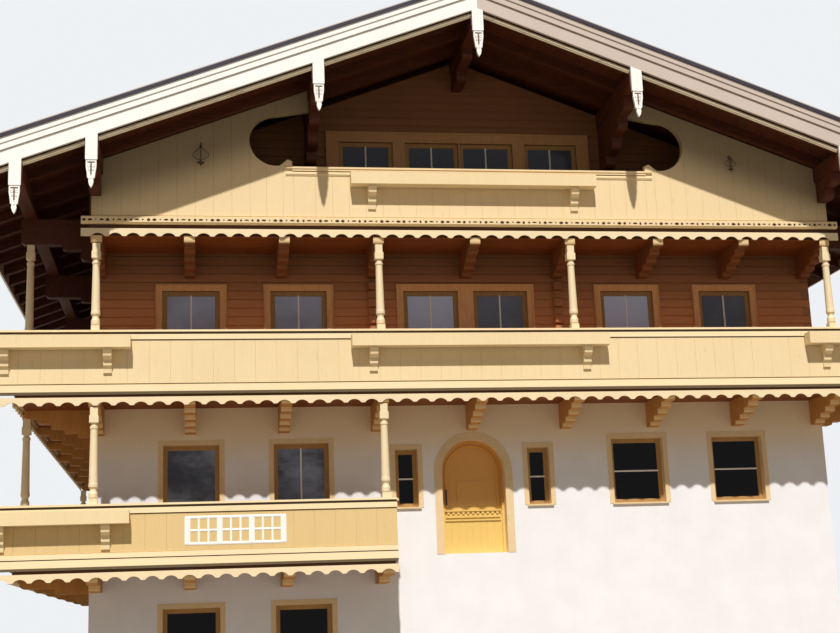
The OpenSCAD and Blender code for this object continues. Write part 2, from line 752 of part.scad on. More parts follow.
// Three stepped boards along each verge, the upper ones standing further out, and a board at each eaves
verge_face = half_d + verge_out;
verge_bands = [
    [70, 70 + bargeboard_h, 0],
    [80 + bargeboard_h, 80 + bargeboard_h + 120, 30],
    [80 + bargeboard_h + 120, rafter_h + roof_t + 60 - flashing_h, 50]
];
module verge_band(s, e, low, high, out) {
    y0 = e > 0 ? verge_face - pendant_t : -verge_face - out;
    upright(y0, y0 + pendant_t + out) slope_band(s, eaves_half, low, high);
}
module bargeboards() {
    color("#f2ead8") for (s = [-1, 1]) {
        for (e = [-1, 1], b = verge_bands) verge_band(s, e, b[0], b[1], b[2]);
        upright(pendant_t - verge_face + seat, verge_face - pendant_t - seat)
            polygon([
                [s*(eaves_half - 58), under_roof(eaves_half) - 30],
                [s*(eaves_half - 18), under_roof(eaves_half) - 30],
                [s*(eaves_half - 18), under_roof(eaves_half - 18) + rafter_h - seat],
                [s*(eaves_half - 58), under_roof(eaves_half - 58) + rafter_h - seat]
            ]);
    }
}
module verge_flashings() {
    color("#5a6470") for (s = [-1, 1], e = [-1, 1])
        verge_band(s, e, verge_bands[2][1], rafter_h + roof_t + 60, 75);
}

// Window frames and panes
module frame_ring(o, y) {
    translate([o[0] - o[2]/2, y, o[1] - o[3]]) difference() {
        cube([o[2], frame_d, o[3]]);
        translate([frame_w, -eps, frame_w]) cube([o[2] - 2*frame_w, frame_d + 2*eps, o[3] - 2*frame_w]);
    }
}
module pane(o, y) {
    translate([o[0] - o[2]/2 + frame_w, y + (frame_d - glass_t)/2, o[1] - o[3] + frame_w])
        cube([o[2] - 2*frame_w, glass_t, o[3] - 2*frame_w]);
}
glazing = [
    ["front", reveal, concat(lower_front_openings, entrance_openings)],
    ["back", reveal, concat(lower_back_openings, first_back_openings)],
    ["left", reveal, concat(lower_left_openings, first_left_openings)],
    ["right", reveal, first_right_openings],
    ["front", log_reveal, concat(log_front_openings, attic_openings)],
    ["back", log_reveal, concat(log_back_openings, gable_back_openings)],
    ["left", log_reveal, log_side_openings],
    ["right", log_reveal, log_side_openings]
];
module window_frames() {
    color("#8c6a38") for (g = glazing) on_wall(g[0]) for (o = g[2]) frame_ring(o, g[1]);
}
module window_glass() {
    color("lightblue") for (g = glazing) on_wall(g[0]) for (o = g[2]) pane(o, g[1]);
}

// Board casings on the log walls: a flat board with a raised outer edge, open at the foot of a door
module opening_square(o, grow, foot) {
    translate([o[0] - o[2]/2 - grow, o[1] - o[3] - foot]) square([o[2] + 2*grow, o[3] + grow + foot]);
}
module casing(o) {
    is_door = o[3] > 1.3*log_win_h;
    foot = is_door ? 0 : casing_w;
    upright(-casing_t, 0) difference() {
        opening_square(o, casing_w, foot);
        opening_square(o, 0, is_door ? eps : 0);
    }
    upright(-casing_t - 14, -casing_t + eps) difference() {
        opening_square(o, casing_w, foot);
        opening_square(o, casing_w - 34, is_door ? eps : foot - 34);
    }
}
module wide_casing(openings, half, z0, top) {
    upright(-casing_t, 0) difference() {
        translate([-half, z0]) square([2*half, top - z0]);
        for (o = openings) opening_square(o, 0, 0);
    }
    upright(-casing_t - 14, -casing_t + eps) difference() {
        translate([-half, z0]) square([2*half, top - z0]);
        translate([-half + 40, z0 - eps]) square([2*half - 80, top - z0 - 40 + eps]);
    }
}
module window_casings() {
    pair = [for (o = log_front_openings) if (abs(o[0]) == win_pair) o];
    color("#c99a58") {
        on_wall("front") {
            for (o = log_front_openings) if (abs(o[0]) != win_pair) casing(o);
            wide_casing(pair, win_pair + log_win_w/2 + casing_w, upper_deck_z + 30,
                second_z + log_head + casing_w);
            wide_casing(attic_openings, attic_casing_half, attic_z, attic_z + log_head + casing_w + 80);
        }
        on_wall("back") for (o = concat(log_back_openings, gable_back_openings)) casing(o);
        for (side = ["left", "right"]) on_wall(side) for (o = log_side_openings) casing(o);
    }
}

// Painted bands round the openings in plaster, turned into the reveals, with a sill
band_t = 8;
sill_over = 35;
module painted_band(o) {
    is_door = o[3] > 1.3*win_h;
    difference() {
        upright(-band_t, 0) opening_square(o, band_w, 0);
        upright(-band_t - eps, eps) opening_square(o, -band_t, is_door ? eps : -band_t);
    }
    difference() {
        upright(-eps, reveal) opening_square(o, 0, 0);
        upright(-2*eps, reveal + eps) translate([o[0] - o[2]/2 + band_t, o[1] - o[3] + band_t])
            square([o[2] - 2*band_t, o[3] - 2*band_t]);
    }
    if (!is_door) translate([o[0] - o[2]/2 - sill_over, -42, o[1] - o[3] - 22])
        cube([o[2] + 2*sill_over, 42, 30]);
}
plaster_openings = [
    ["front", concat(lower_front_openings, entrance_openings)],
    ["back", concat(lower_back_openings, first_back_openings)],
    ["left", concat(lower_left_openings, first_left_openings)],
    ["right", first_right_openings]
];
module painted_surrounds() {
    color("#d8b06a") {
        for (g = plaster_openings) on_wall(g[0]) for (o = g[1]) painted_band(o);
        on_wall("front") difference() {
            union() {
                upright(-band_t, 0) arch_outline(door_r + door_band_w, first_z);
                upright(-eps, door_reveal) arch_outline(door_r, first_z);
            }
            upright(-band_t - eps, door_reveal + eps) arch_outline(door_r - band_t, first_z - eps);
        }
    }
}

// Front door: arched frame at the back of the reveal, leaf in its rebate, hinges on the right
leaf_r = door_r - door_frame_w + 20;
leaf_y = door_reveal + 45;
leaf_low = first_z + 12;
stop_d = leaf_y - door_reveal - leaf_gap;
hinge_x = leaf_r + leaf_gap + 8;
hinge_y = leaf_y + leaf_t + knuckle_r - 2;
hinge_low = 250;
hinge_step = 1000;
hinge_heights = [first_z + hinge_low, first_z + hinge_low + hinge_step];
knuckle_h = 50;
module arch_outline(r, low) {
    translate([0, door_centre_z]) circle(r = r, $fn = 96);
    translate([-r, low]) square([2*r, door_centre_z - low]);
}
module door_frame() {
    clear_r = leaf_r + leaf_gap;
    color("#b98a45") on_wall("front") {
        difference() {
            translate([-inner_half, door_reveal, first_z])
                cube([2*inner_half, door_frame_d, inner_head - first_z]);
            upright(door_reveal - eps, door_reveal + stop_d)
                arch_outline(door_r - door_frame_w, first_z - eps);
            upright(door_reveal + stop_d - eps, door_reveal + door_frame_d + eps)
                arch_outline(clear_r, first_z - eps);
        }
        for (z = hinge_heights) {
            translate([hinge_x, hinge_y, z - 1]) cylinder(r = pin_r, h = 3*knuckle_h + 2);
            for (k = [0, 2]) translate([0, 0, z + k*knuckle_h]) frame_knuckle();
        }
    }
}
module frame_knuckle() {
    translate([hinge_x, hinge_y, 0]) cylinder(r = knuckle_r, h = knuckle_h);
    translate([hinge_x, door_reveal + door_frame_d - eps, 0])
        cube([knuckle_r + 60, hinge_y + knuckle_r - door_reveal - door_frame_d + eps, knuckle_h]);
}
module leaf_knuckle() {
    difference() {
        union() {
            translate([hinge_x, hinge_y, 1]) cylinder(r = knuckle_r, h = knuckle_h - 2);
            translate([hinge_x - knuckle_r - 60, leaf_y + leaf_t - eps, 1])
                cube([knuckle_r + 60, knuckle_r + eps, knuckle_h - 2]);
        }
        translate([hinge_x, hinge_y, -eps]) cylinder(r = pin_r + pin_gap, h = knuckle_h + 2*eps);
    }
}
panel_r = leaf_r - 110;
module leaf_ledge() {
    half = leaf_r - 45;
    translate([-half, leaf_y - 55, first_z + ledge_z + 180]) cube([2*half, 55 + eps, 28]);
    translate([-half + 20, leaf_y - 18, first_z + ledge_z + 60]) cube([2*half - 40, 18 + eps, 122]);
    translate([-half + 10, leaf_y - 34, first_z + ledge_z + 60]) cube([2*half - 20, 34 + eps, 34]);
    translate([-half, leaf_y - 26, first_z + ledge_z]) cube([2*half, 26 + eps, 30]);
    count = 11;
    for (i = [0:count - 1])
        translate([-half + 40 + i*(2*half - 130)/(count - 1), leaf_y - 42, first_z + ledge_z + 130])
            cube([50, 42 + eps, 52]);
}
module front_door() {
    color("#c98f3f") on_wall("front") {
        difference() {
            upright(leaf_y, leaf_y + leaf_t) arch_outline(leaf_r, leaf_low);
            upright(leaf_y - eps, leaf_y + 16) difference() {
                arch_outline(panel_r, first_z + ledge_z + 260);
                translate([-0.62*panel_r, first_z + ledge_z + 330]) square([1.24*panel_r, 0.9*panel_r]);
            }
            for (i = [-3:3]) translate([i*2*panel_r/7 - 4, leaf_y - eps, leaf_low + 110])
                cube([8, 9, ledge_z - 160]);
        }
        leaf_ledge();
        for (z = hinge_heights) translate([0, 0, z + knuckle_h]) leaf_knuckle();
    }
}

module door_handle() {
    x = -leaf_r + 75;
    z = first_z + ledge_z + 300;
    color("#4a3a28") on_wall("front") {
        translate([x, leaf_y - 62, z]) cylinder(r = 14, h = 300);
        for (h = [40, 260]) translate([x, leaf_y - 62, z + h]) rotate([-90, 0, 0]) cylinder(r = 9, h = 62);
        for (h = [40, 260]) translate([x, leaf_y - 6, z + h]) rotate([-90, 0, 0]) cylinder(r = 20, h = 6);
    }
}

// Flower boxes on the parapets and the loggia, each on two carved brackets
bracket_t = 150;
bracket_in = 410;
bracket_out = 150;
module bracket_outline() {
    w = box_d + 10;
    polygon([
        [0, 0], [-w, 0], [-w, -50], [-0.84*w, -90], [-0.8*w, -140], [-0.44*w, -200], [-0.4*w, -300],
        [-0.22*w, -350], [-0.2*w, -430], [0, -430]
    ]);
}
module flower_box(x0, x1, top, places) {
    wall = box_t;
    y0 = -half_d - reach - 50 - box_d;
    translate([x0, y0, top - box_h]) difference() {
        cube([x1 - x0, box_d, box_h]);
        translate([wall, wall, wall]) cube([x1 - x0 - 2*wall, box_d - 2*wall, box_h]);
    }
    for (x = places) translate([x - bracket_t/2, -half_d - reach, top - box_h])
        rotate([90, 0, 90]) linear_extrude(bracket_t) bracket_outline();
}
module middle_box(half, top) {
    flower_box(-half, half, top, [bracket_in - half, half - bracket_in]);
}
module end_box(s, top) {
    inner = half_w - 780;
    outer = half_w + reach + end_over;
    places = [s*(inner + bracket_in), s*(outer - bracket_out)];
    flower_box(min(s*inner, s*outer), max(s*inner, s*outer), top, places);
}
module flower_boxes() {
    color("#d6b378") {
        middle_box(loggia_box_half, loggia_top - 160);
        middle_box(balcony_box_half, upper_rail_z - 130);
        end_box(-1, upper_rail_z - 130);
        end_box(1, upper_rail_z - 130);
        end_box(-1, lower_rail_z - 130);
    }
}

lower_wall_front();
lower_wall_back();
lower_wall_left();
lower_wall_right();
entrance_wall_left_part();
entrance_wall_right_part();
entrance_wall_over_door();
first_wall_back();
first_wall_left();
first_wall_right();
log_wall_front();
log_wall_back();
log_wall_left();
log_wall_right();
attic_wall();
knee_walls();
gable_boards_front();
gable_boards_back();
ground_slab();
first_floor();
second_floor();
attic_floor();
balcony_decks();
lower_balcony_parapets();
upper_balcony_parapets();
gable_fascia();
valances();
corbels();
posts();
purlins();
purlin_corbels();
purlin_pendants();
rafters();
roof_left();
roof_right();
bargeboards();
verge_flashings();
window_frames();
window_glass();
window_casings();
painted_surrounds();
door_frame();
front_door();
door_handle();
flower_boxes();
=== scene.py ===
"""Looks of the alpine chalet: boards, tiles, window bars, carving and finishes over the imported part.

Everything is in metres in the part's own frame: X along the entrance front, which faces -Y, Z up.
A new piece is a section carried along a path, or a surface on a grid of two parameters, worked out
as whole arrays.
"""

import math

import bpy
import numpy as np
from mathutils import Matrix, Vector


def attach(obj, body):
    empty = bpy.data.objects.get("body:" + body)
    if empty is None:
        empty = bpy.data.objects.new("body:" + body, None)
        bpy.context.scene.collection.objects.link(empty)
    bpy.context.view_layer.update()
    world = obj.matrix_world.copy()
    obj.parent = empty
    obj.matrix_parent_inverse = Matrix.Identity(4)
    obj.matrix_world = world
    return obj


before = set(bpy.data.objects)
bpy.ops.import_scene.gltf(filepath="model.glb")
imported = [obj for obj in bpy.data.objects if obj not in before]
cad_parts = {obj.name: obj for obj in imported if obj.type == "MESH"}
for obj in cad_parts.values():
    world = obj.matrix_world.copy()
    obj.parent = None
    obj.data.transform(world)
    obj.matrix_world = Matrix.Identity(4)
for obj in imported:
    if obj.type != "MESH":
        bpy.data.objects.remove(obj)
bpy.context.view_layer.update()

# Sizes of the part that the pieces sit on
HALF_W = 7.2
HALF_D = 6.6
FIRST_Z = 3.0
SECOND_Z = 6.08
ATTIC_Z = 9.16
REACH = 1.25
VERGE_Y = 9.05
EAVES_X = 9.45
RIDGE_Z = 12.965
SLOPE = 0.376
ROOF_TOP = 0.59
LOGGIA_LOW = 10.19
LOGGIA_HALF = 3.46
LOBE_X = 3.76
LOBE_Z = 10.76
LOBE_R = 0.5
PURLIN_MID = 3.03
COURSE = 3.08 / 18
LOWER_DECK = 2.97
UPPER_DECK = 6.05
LOWER_END = 1.68
END_OVER = 0.32
FASCIA_OVER = 0.14
PENDANT_W = 0.21
PURLINS = (-8.38, -7.08, -3.03, 0.0, 3.03, 7.08, 8.38)
DOOR_CENTRE_Z = 4.56
LEAF_R = 0.59
LEAF_Y = -6.355
TILED_Y = VERGE_Y - 0.08

# Openings: sash and casing, heads, and sizes as (width, height, how far the pane lies back)
SASH = 0.075
CASING_W = 0.124
LOWER_HEAD = 2.16
FIRST_HEAD = FIRST_Z + 2.16
SECOND_HEAD = SECOND_Z + 2.05
ATTIC_HEAD = ATTIC_Z + 2.05
WINDOW = (1.06, 1.28, 0.15)
TALL_WINDOW = (1.06, 2.12, 0.15)
DOOR_LIGHT = (0.45, 1.12, 0.15)
LOG_WINDOW = (1.09, 1.25, 0.04)
TALL_LOG_WINDOW = (1.09, 2.01, 0.04)


# Camera, light and floor

def aim_camera():
    """The eye 1.6 m over the part's base, left of the middle, looking up and to the right."""
    eye = (-5.172, -33.089, 1.59)
    yaw, pitch, roll = 0.159, 0.221, -0.038
    ahead = Vector((math.sin(yaw) * math.cos(pitch), math.cos(yaw) * math.cos(pitch), math.sin(pitch)))
    right = Vector((math.cos(yaw), -math.sin(yaw), 0))
    up = right.cross(ahead)
    across = right * math.cos(roll) + up * math.sin(roll)
    upward = up * math.cos(roll) - right * math.sin(roll)
    turned = Matrix((across, upward, -ahead)).transposed()
    data = bpy.data.cameras.new("eye")
    data.lens = 60
    data.sensor_width = 36
    data.clip_end = 400
    camera = bpy.data.objects.new("eye", data)
    camera.matrix_world = Matrix.Translation(eye) @ turned.to_4x4()
    bpy.context.scene.collection.objects.link(camera)
    bpy.context.scene.camera = camera


def lay_light():
    """A lamp high in front, a soft warm surround that lights the shade, and a pale one that only the
    camera, metal and glass see."""
    data = bpy.data.lights.new("high_lamp", "SUN")
    data.energy = 4.0
    data.angle = math.radians(1.2)
    data.color = (1.0, 0.965, 0.91)
    lamp = bpy.data.objects.new("high_lamp", data)
    lamp.rotation_euler = (math.radians(39.1), 0, math.radians(-7))
    bpy.context.scene.collection.objects.link(lamp)
    world = bpy.data.worlds.new("surround")
    bpy.context.scene.world = world
    n = Nodes(world, "ShaderNodeOutputWorld")
    camera, glossy, through = [n.node("ShaderNodeLightPath", {}, {}, f"Is {kind} Ray")
                               for kind in ("Camera", "Glossy", "Transmission")]
    soft = n.node("ShaderNodeBackground", {}, {"Color": (1.0, 0.88, 0.79, 1), "Strength": 0.23})
    pale = n.node("ShaderNodeBackground", {}, {"Color": (0.86, 0.88, 0.9, 1), "Strength": 1.0})
    n.end(n.node("ShaderNodeMixShader", {}, {0: camera.most(glossy.most(through)), 1: soft, 2: pale}))


# Shader maths

class Wire:
    """A socket that carries a number; each operator lays a Math node."""

    def __init__(self, nodes, socket):
        self.nodes = nodes
        self.socket = socket

    def maths(self, operation, first, second=0.0):
        return self.nodes.node("ShaderNodeMath", {"operation": operation}, {0: first, 1: second})

    def __add__(self, other):
        return self.maths("ADD", self, other)

    __radd__ = __add__

    def __sub__(self, other):
        return self.maths("SUBTRACT", self, other)

    def __rsub__(self, other):
        return self.maths("SUBTRACT", other, self)

    def __mul__(self, other):
        return self.maths("MULTIPLY", self, other)

    __rmul__ = __mul__

    def __truediv__(self, other):
        return self.maths("DIVIDE", self, other)

    def __rtruediv__(self, other):
        return self.maths("DIVIDE", other, self)

    def __pow__(self, other):
        return self.maths("POWER", self, other)

    def __rpow__(self, other):
        return self.maths("POWER", other, self)

    def __abs__(self):
        return self.maths("ABSOLUTE", self)

    def floor(self):
        return self.maths("FLOOR", self)

    def part(self):
        return self.maths("FRACT", self)

    def sine(self):
        return self.maths("SINE", self)

    def over(self, edge):
        return self.maths("GREATER_THAN", self, edge)

    def most(self, other):
        return self.maths("MAXIMUM", self, other)

    def least(self, other):
        return self.maths("MINIMUM", self, other)

    def step(self, low, high):
        """0 below low, 1 above high, and a smooth rise between them."""
        return self.nodes.node("ShaderNodeMapRange", {"interpolation_type": "SMOOTHSTEP"},
                               {0: self, 1: low, 2: high})


class Nodes:
    """The node tree of a material or of the world, with one method that lays any node."""

    def __init__(self, owner, last):
        owner.use_nodes = True
        self.owner = owner
        self.tree = owner.node_tree
        self.tree.nodes.clear()
        self.out = self.tree.nodes.new(last)

    def node(self, kind, settings, inputs, output=0):
        """Lays a node of this kind: first its settings, then the values or links of its sockets."""
        made = self.tree.nodes.new(kind)
        for key, value in settings.items():
            if key == "stops":
                self.set_stops(made.color_ramp, value)
            else:
                setattr(made, key, value)
        for key, value in inputs.items():
            if isinstance(value, Wire):
                self.tree.links.new(value.socket, made.inputs[key])
            else:
                made.inputs[key].default_value = value
        return Wire(self, made.outputs[output])

    def set_stops(self, ramp, stops):
        while len(ramp.elements) < len(stops):
            ramp.elements.new(0.5)
        for element, (place, colour) in zip(ramp.elements, stops):
            element.position = place
            element.color = colour

    def end(self, shader):
        self.tree.links.new(shader.socket, self.out.inputs["Surface"])
        return self.owner


class Bench(Nodes):
    """A material being made, with the places and facings of its surface."""

    def __init__(self, name):
        super().__init__(bpy.data.materials.new(name), "ShaderNodeOutputMaterial")
        self.where = self.node("ShaderNodeTexCoord", {}, {}, "Object")
        self.facing = self.node("ShaderNodeTexCoord", {}, {}, "Normal")

    def apart(self, vector):
        split = self.node("ShaderNodeSeparateXYZ", {}, {0: vector})
        return [Wire(self, output) for output in split.socket.node.outputs]

    def join(self, x, y, z):
        return self.node("ShaderNodeCombineXYZ", {}, {0: x, 1: y, 2: z})

    def noise(self, vector, scale=1.0, detail=4.0, rough=0.55):
        inputs = {"Vector": vector, "Scale": scale, "Detail": detail, "Roughness": rough}
        return self.node("ShaderNodeTexNoise", {}, inputs, "Fac")

    def cells(self, vector, scale=1.0, feature="F1"):
        """How far each point is from the middle of its cell."""
        inputs = {"Vector": vector, "Scale": scale}
        return self.node("ShaderNodeTexVoronoi", {"feature": feature}, inputs, "Distance")

    def grain(self, along):
        """The places along x, y and z, along the grain, and across it both ways."""
        xyz = self.apart(self.where)
        return xyz, xyz[along], *[xyz[i] for i in range(3) if i != along]

    def chance(self, number):
        """The same random number from 0 to 1 for each whole number."""
        return self.node("ShaderNodeTexWhiteNoise", {"noise_dimensions": "1D"}, {"W": number}, "Value")

    def tint(self, share, low, high):
        """From colour low to colour high as share goes from 0 to 1."""
        return self.node("ShaderNodeMix", {"data_type": "RGBA"}, {0: share, 6: low, 7: high}, 2)

    def shade(self, colour, by):
        """A colour made lighter or darker by a number."""
        if isinstance(colour, tuple):
            if not isinstance(by, Wire):
                return (*[v * by for v in colour[:3]], 1.0)
            colour = colour[:3]
        return self.node("ShaderNodeVectorMath", {"operation": "SCALE"}, {0: colour, 3: by})

    def close(self, colour, roughness, height, distance, gloss=0.5, metal=0.0, alpha=1.0):
        """Ends the material: its shader, its bump, and gloss and metal, which are the same all over."""
        bump = self.node("ShaderNodeBump", {}, {"Height": height, "Distance": distance, "Strength": 1.0})
        return self.end(self.node("ShaderNodeBsdfPrincipled", {}, {
            "Base Color": colour, "Roughness": roughness, "Normal": bump, "Specular IOR Level": gloss,
            "Metallic": metal, "Alpha": alpha}))


def paint(red, green, blue):
    """A colour given as it looks on a screen, 0 to 255, as the linear colour that a shader takes."""
    seen = np.array([red, green, blue]) / 255
    line = np.where(seen <= 0.04045, seen / 12.92, ((seen + 0.055) / 1.055) ** 2.4)
    return (*line.tolist(), 1.0)


# Finishes

# Heights of the painted warm shade on the plaster, heights between which the upper corbels get painted
# # shade and above which their tips get painted sunlight, how far under the roof boards get painted shade,
# # the pitches that the tiles' tones follow, and the wood that shows through thin paint
WARM_SHADE_HEIGHTS = (4.5, 5.5)
SHADED_CORBELS = (8.0, 8.4)
LIT_CORBEL_TIPS = (8.72, 8.74)
EAVES_SHADE = (0.45, 1.3, 0.4)
TONE_ROW = 0.3265
TONE_COLUMN = 0.3
UNDER_PAINT = paint(196, 170, 128)


def timber(name, tones, along, board=None, fine=1.0, rough=0.5, age=0.35, gloss=0.3, rings=0.4,
           joint=0.5, ends=None, grain=1.0, spread=0.24, shade_fade=None, nose=None, eaves_shade=None, shadow_lines=()):
    """Sawn wood in a pale, a middle and a dark tone. Fibres are noise drawn out along the grain, the figure
    is a sine of slow noise, each board of the given pitch has its own tone, and knots are the middles of
    stretched cells. Ends draws the rounds of cut logs. The rest paints light and shade: a darkening or
    tint between two heights is painted shade, a tint on the faces that look straight out from the house
    is painted sunlight on corbel fronts and painted shade on deck edges, a darkening close under the roof
    is painted shade of the eaves, and dark lines at given heights and half widths are painted shadows
    along grooves and under caps."""
    b = Bench(name)
    pale, mid, dark = [paint(*tone) for tone in tones]
    xyz, run, wide, deep = b.grain(along)
    if board:
        axis, pitch, shift = board
        place = xyz[axis] / pitch + shift
        own = b.chance(place.floor())
        other = b.chance(place.floor() + 71.0)
        gap = abs(place.part() - 0.5).step(0.5 - 0.006 / pitch, 0.5 - 0.0025 / pitch)
    else:
        own = b.noise(b.join(wide * 0.6, deep * 0.6, run * 0.05), 1.0, 1.0)
        other = own
    shifted = run + own * 9.0
    fibre = b.noise(b.join(shifted * (3.0 * fine), wide * (75.0 * fine), deep * (75.0 * fine)),
                    1.0, 5.0, 0.65)
    slow = b.noise(b.join(shifted * (0.55 * fine), wide * (6.5 * fine) + other * 5.0,
                          deep * (6.5 * fine)), 1.0, 2.0, 0.5)
    figure = (slow * 42.0).sine() * 0.5 + 0.5
    cell = b.cells(b.join(shifted * (0.9 * fine), wide * (4.2 * fine), deep * (4.2 * fine)))
    knot = 1.0 - cell.step(0.03, 0.1)
    worn = b.noise(b.where, 0.7, 4.0, 0.6).step(0.4, 0.75)
    tone = b.tint((fibre.step(0.3, 0.7) - 0.5) * grain + 0.5, mid, pale)
    tone = b.tint(figure ** 3.0 * (rings * grain), tone, dark)
    tone = b.tint(worn * age, tone, b.shade(b.tint(0.5, mid, dark), 0.9))
    tone = b.tint(knot * (0.45 * grain), tone, b.shade(dark, 0.7))
    tone = b.shade(tone, own * spread + (1.0 - spread / 2))
    if ends:
        low, course = ends
        middle = ((deep - low) / course).part() - 0.5
        far = ((middle * course) ** 2.0 + b.noise(b.where, 6.0, 2.0) * 0.03) ** 0.5
        rounds = (far * 420.0).sine() * 0.5 + 0.5
        cut = abs(b.apart(b.facing)[along]).step(0.75, 0.9)
        tone = b.tint(cut, tone, b.tint(rounds * 0.6, b.shade(pale, 0.8), dark))
    # Painted shade: darkens or tints the wood between two heights
    if shade_fade:
        low, high, least = shade_fade
        risen = xyz[2].step(low, high)
        if isinstance(least, tuple):
            tone = b.tint(risen * 0.92, tone, b.shade(least, fibre * 0.3 + 0.85))
        else:
            tone = b.shade(tone, 1.0 - risen * (1.0 - least))
    # Painted shade: darkens what lies close under the roof's edge
    if eaves_shade:
        near, far, least = eaves_shade
        drop = RIDGE_Z - abs(xyz[0]) * SLOPE - xyz[2]
        tone = b.shade(tone, drop.step(near, far) * (1.0 - least) + least)
    # Painted light and shade: tints the faces that look straight out from the house, as sunlit corbel
    # fronts (the upper corbels only at their lit tips) and as shaded deck edges
    if nose:
        face = b.apart(b.facing)
        front = (0.0 - xyz[1]).step(HALF_D - 0.01, HALF_D + 0.01)
        straight = abs(face[1]) * front + abs(face[0]) * (1.0 - front)
        shaded = xyz[2].step(*SHADED_CORBELS) - xyz[2].step(*LIT_CORBEL_TIPS)
        tone = b.tint(straight.step(0.6, 0.9) * (1.0 - shaded) * 0.8, tone, nose)
    # Painted shadow: dark lines along the parapets' grooves and under their caps
    for middle, half in shadow_lines:
        shadow_line = 1.0 - abs(xyz[2] - middle).step(half, half + 0.003)
        tone = b.tint(shadow_line * 0.88, tone, b.shade(dark, 0.12))
    height = fibre * (0.35 * grain) + figure * (0.25 * grain) - knot * (0.2 * grain)
    if board:
        tone = b.tint(gap * joint, tone, b.shade(dark, 0.35))
        height = height - gap * 2.0
    return b.close(tone, fibre * 0.18 + worn * 0.1 + rough, height, 0.002, gloss)


def painted_wood(name, coat, along, wear, under=UNDER_PAINT, right=None):
    """Opaque paint over wood: the grain stands through as fine ridges, and the paint is thin or gone in
    patches of stretched noise. Right is the duller coat of the house's right half."""
    b = Bench(name)
    xyz, run, wide, deep = b.grain(along)
    if right:
        coat = b.tint(xyz[0].over(0.0), coat, right)
    fibre = b.noise(b.join(run * 2.5, wide * 70.0, deep * 70.0), 1.0, 5.0, 0.65)
    patch = b.noise(b.join(run * 1.6, wide * 7.0, deep * 7.0), 1.0, 6.0, 0.65)
    thin = (patch * 0.75 + fibre * 0.25).step(0.66 - 0.2 * wear, 0.8 - 0.1 * wear)
    dust = b.noise(b.where, 1.3, 4.0, 0.6).step(0.35, 0.8)
    tone = b.tint(dust * 0.35, coat, b.shade(coat, 0.8))
    tone = b.tint(fibre.step(0.55, 0.8) * 0.25, tone, under)
    tone = b.tint(thin * wear, tone, under)
    return b.close(tone, thin * 0.25 + dust * 0.1 + 0.45, fibre * 0.5 - thin * 0.5, 0.0015, 0.35)


def plaster(name, white, soiled):
    """Hand-floated plaster under limewash: low waves, a fine sandy grain, faint streaks of rain, a foot
    darkened by splashes, and a warm painted shade over the head of the entrance storey, under the upper
    balcony, as of light thrown back by its wood."""
    b = Bench(name)
    x, y, z = b.apart(b.where)
    waves = b.noise(b.where, 1.7, 3.0, 0.5)
    floated = b.noise(b.where, 9.0, 5.0, 0.6)
    sand = b.noise(b.where, 160.0, 3.0, 0.7)
    streak = b.noise(b.join(x * 5.0, y * 5.0, z * 0.35), 1.0, 5.0, 0.65).step(0.5, 0.8)
    splash = (1.0 - z.step(0.05, 0.75)) * b.noise(b.where, 3.0, 5.0, 0.7).step(0.3, 0.7)
    tone = b.tint(waves.step(0.3, 0.7), b.shade(white, 0.95), white)
    # Painted shade: a warm tint under the upper balcony, for light bounced off its wood
    tone = b.tint(z.step(*WARM_SHADE_HEIGHTS), tone, paint(243, 223, 190))
    tone = b.tint(streak * 0.06, tone, soiled)
    tone = b.tint(splash * 0.5, tone, soiled)
    tone = b.shade(tone, sand * 0.05 + 0.975)
    return b.close(tone, sand * 0.08 + 0.85, waves * 0.8 + floated * 0.5 + sand * 0.12, 0.006, 0.2)


def stone_mix(name, pale, dark, scale):
    """Concrete or stone: cloudy tone, small pits and grit."""
    b = Bench(name)
    cloud = b.noise(b.where, scale, 6.0, 0.65)
    grit = b.noise(b.where, scale * 40.0, 3.0, 0.7)
    hole = 1.0 - b.cells(b.where, scale * 18.0).step(0.08, 0.2)
    tone = b.tint(cloud.step(0.3, 0.7), dark, pale)
    tone = b.shade(tone, grit * 0.2 + 0.9)
    tone = b.tint(hole * 0.4, tone, b.shade(dark, 0.5))
    return b.close(tone, grit * 0.1 + 0.8, cloud * 0.4 + grit * 0.3 - hole * 0.6, 0.003, 0.25)


def band_paint(name, coat, pale):
    """Mineral paint brushed on plaster: brush marks, thin places and a sandy ground."""
    b = Bench(name)
    brushed = b.noise(b.where, 14.0, 5.0, 0.65)
    thin = b.noise(b.where, 4.0, 5.0, 0.6).step(0.45, 0.75)
    sand = b.noise(b.where, 160.0, 3.0, 0.7)
    tone = b.tint(thin * 0.4, coat, pale)
    tone = b.shade(tone, brushed * 0.2 + 0.9)
    return b.close(tone, sand * 0.1 + 0.8, brushed * 0.4 + sand * 0.2, 0.003, 0.2)


def sheet_metal(name, pale, dark, rough):
    """Weathered sheet metal: a cloudy skin of oxide, fine scratches, dull runs, and a pale band along its
    upper edge, on the line of the roof."""
    b = Bench(name)
    x, y, z = b.apart(b.where)
    cloud = b.noise(b.where, 2.2, 5.0, 0.6)
    scratch = b.noise(b.join(x * 6.0, y * 90.0, z * 90.0), 1.0, 3.0, 0.7)
    runs = b.noise(b.join(x * 12.0, y * 12.0, z * 0.8), 1.0, 4.0, 0.6).step(0.5, 0.8)
    tone = b.tint(cloud.step(0.3, 0.7), dark, pale)
    tone = b.tint(runs * 0.35, tone, b.shade(dark, 0.7))
    over = z + abs(x) * SLOPE - (RIDGE_Z + ROOF_TOP)
    tone = b.tint(over.step(0.038, 0.044), tone, paint(176, 164, 156))
    return b.close(tone, cloud * 0.25 + rough, scratch * 0.3 + cloud * 0.3, 0.001, metal=0.25)


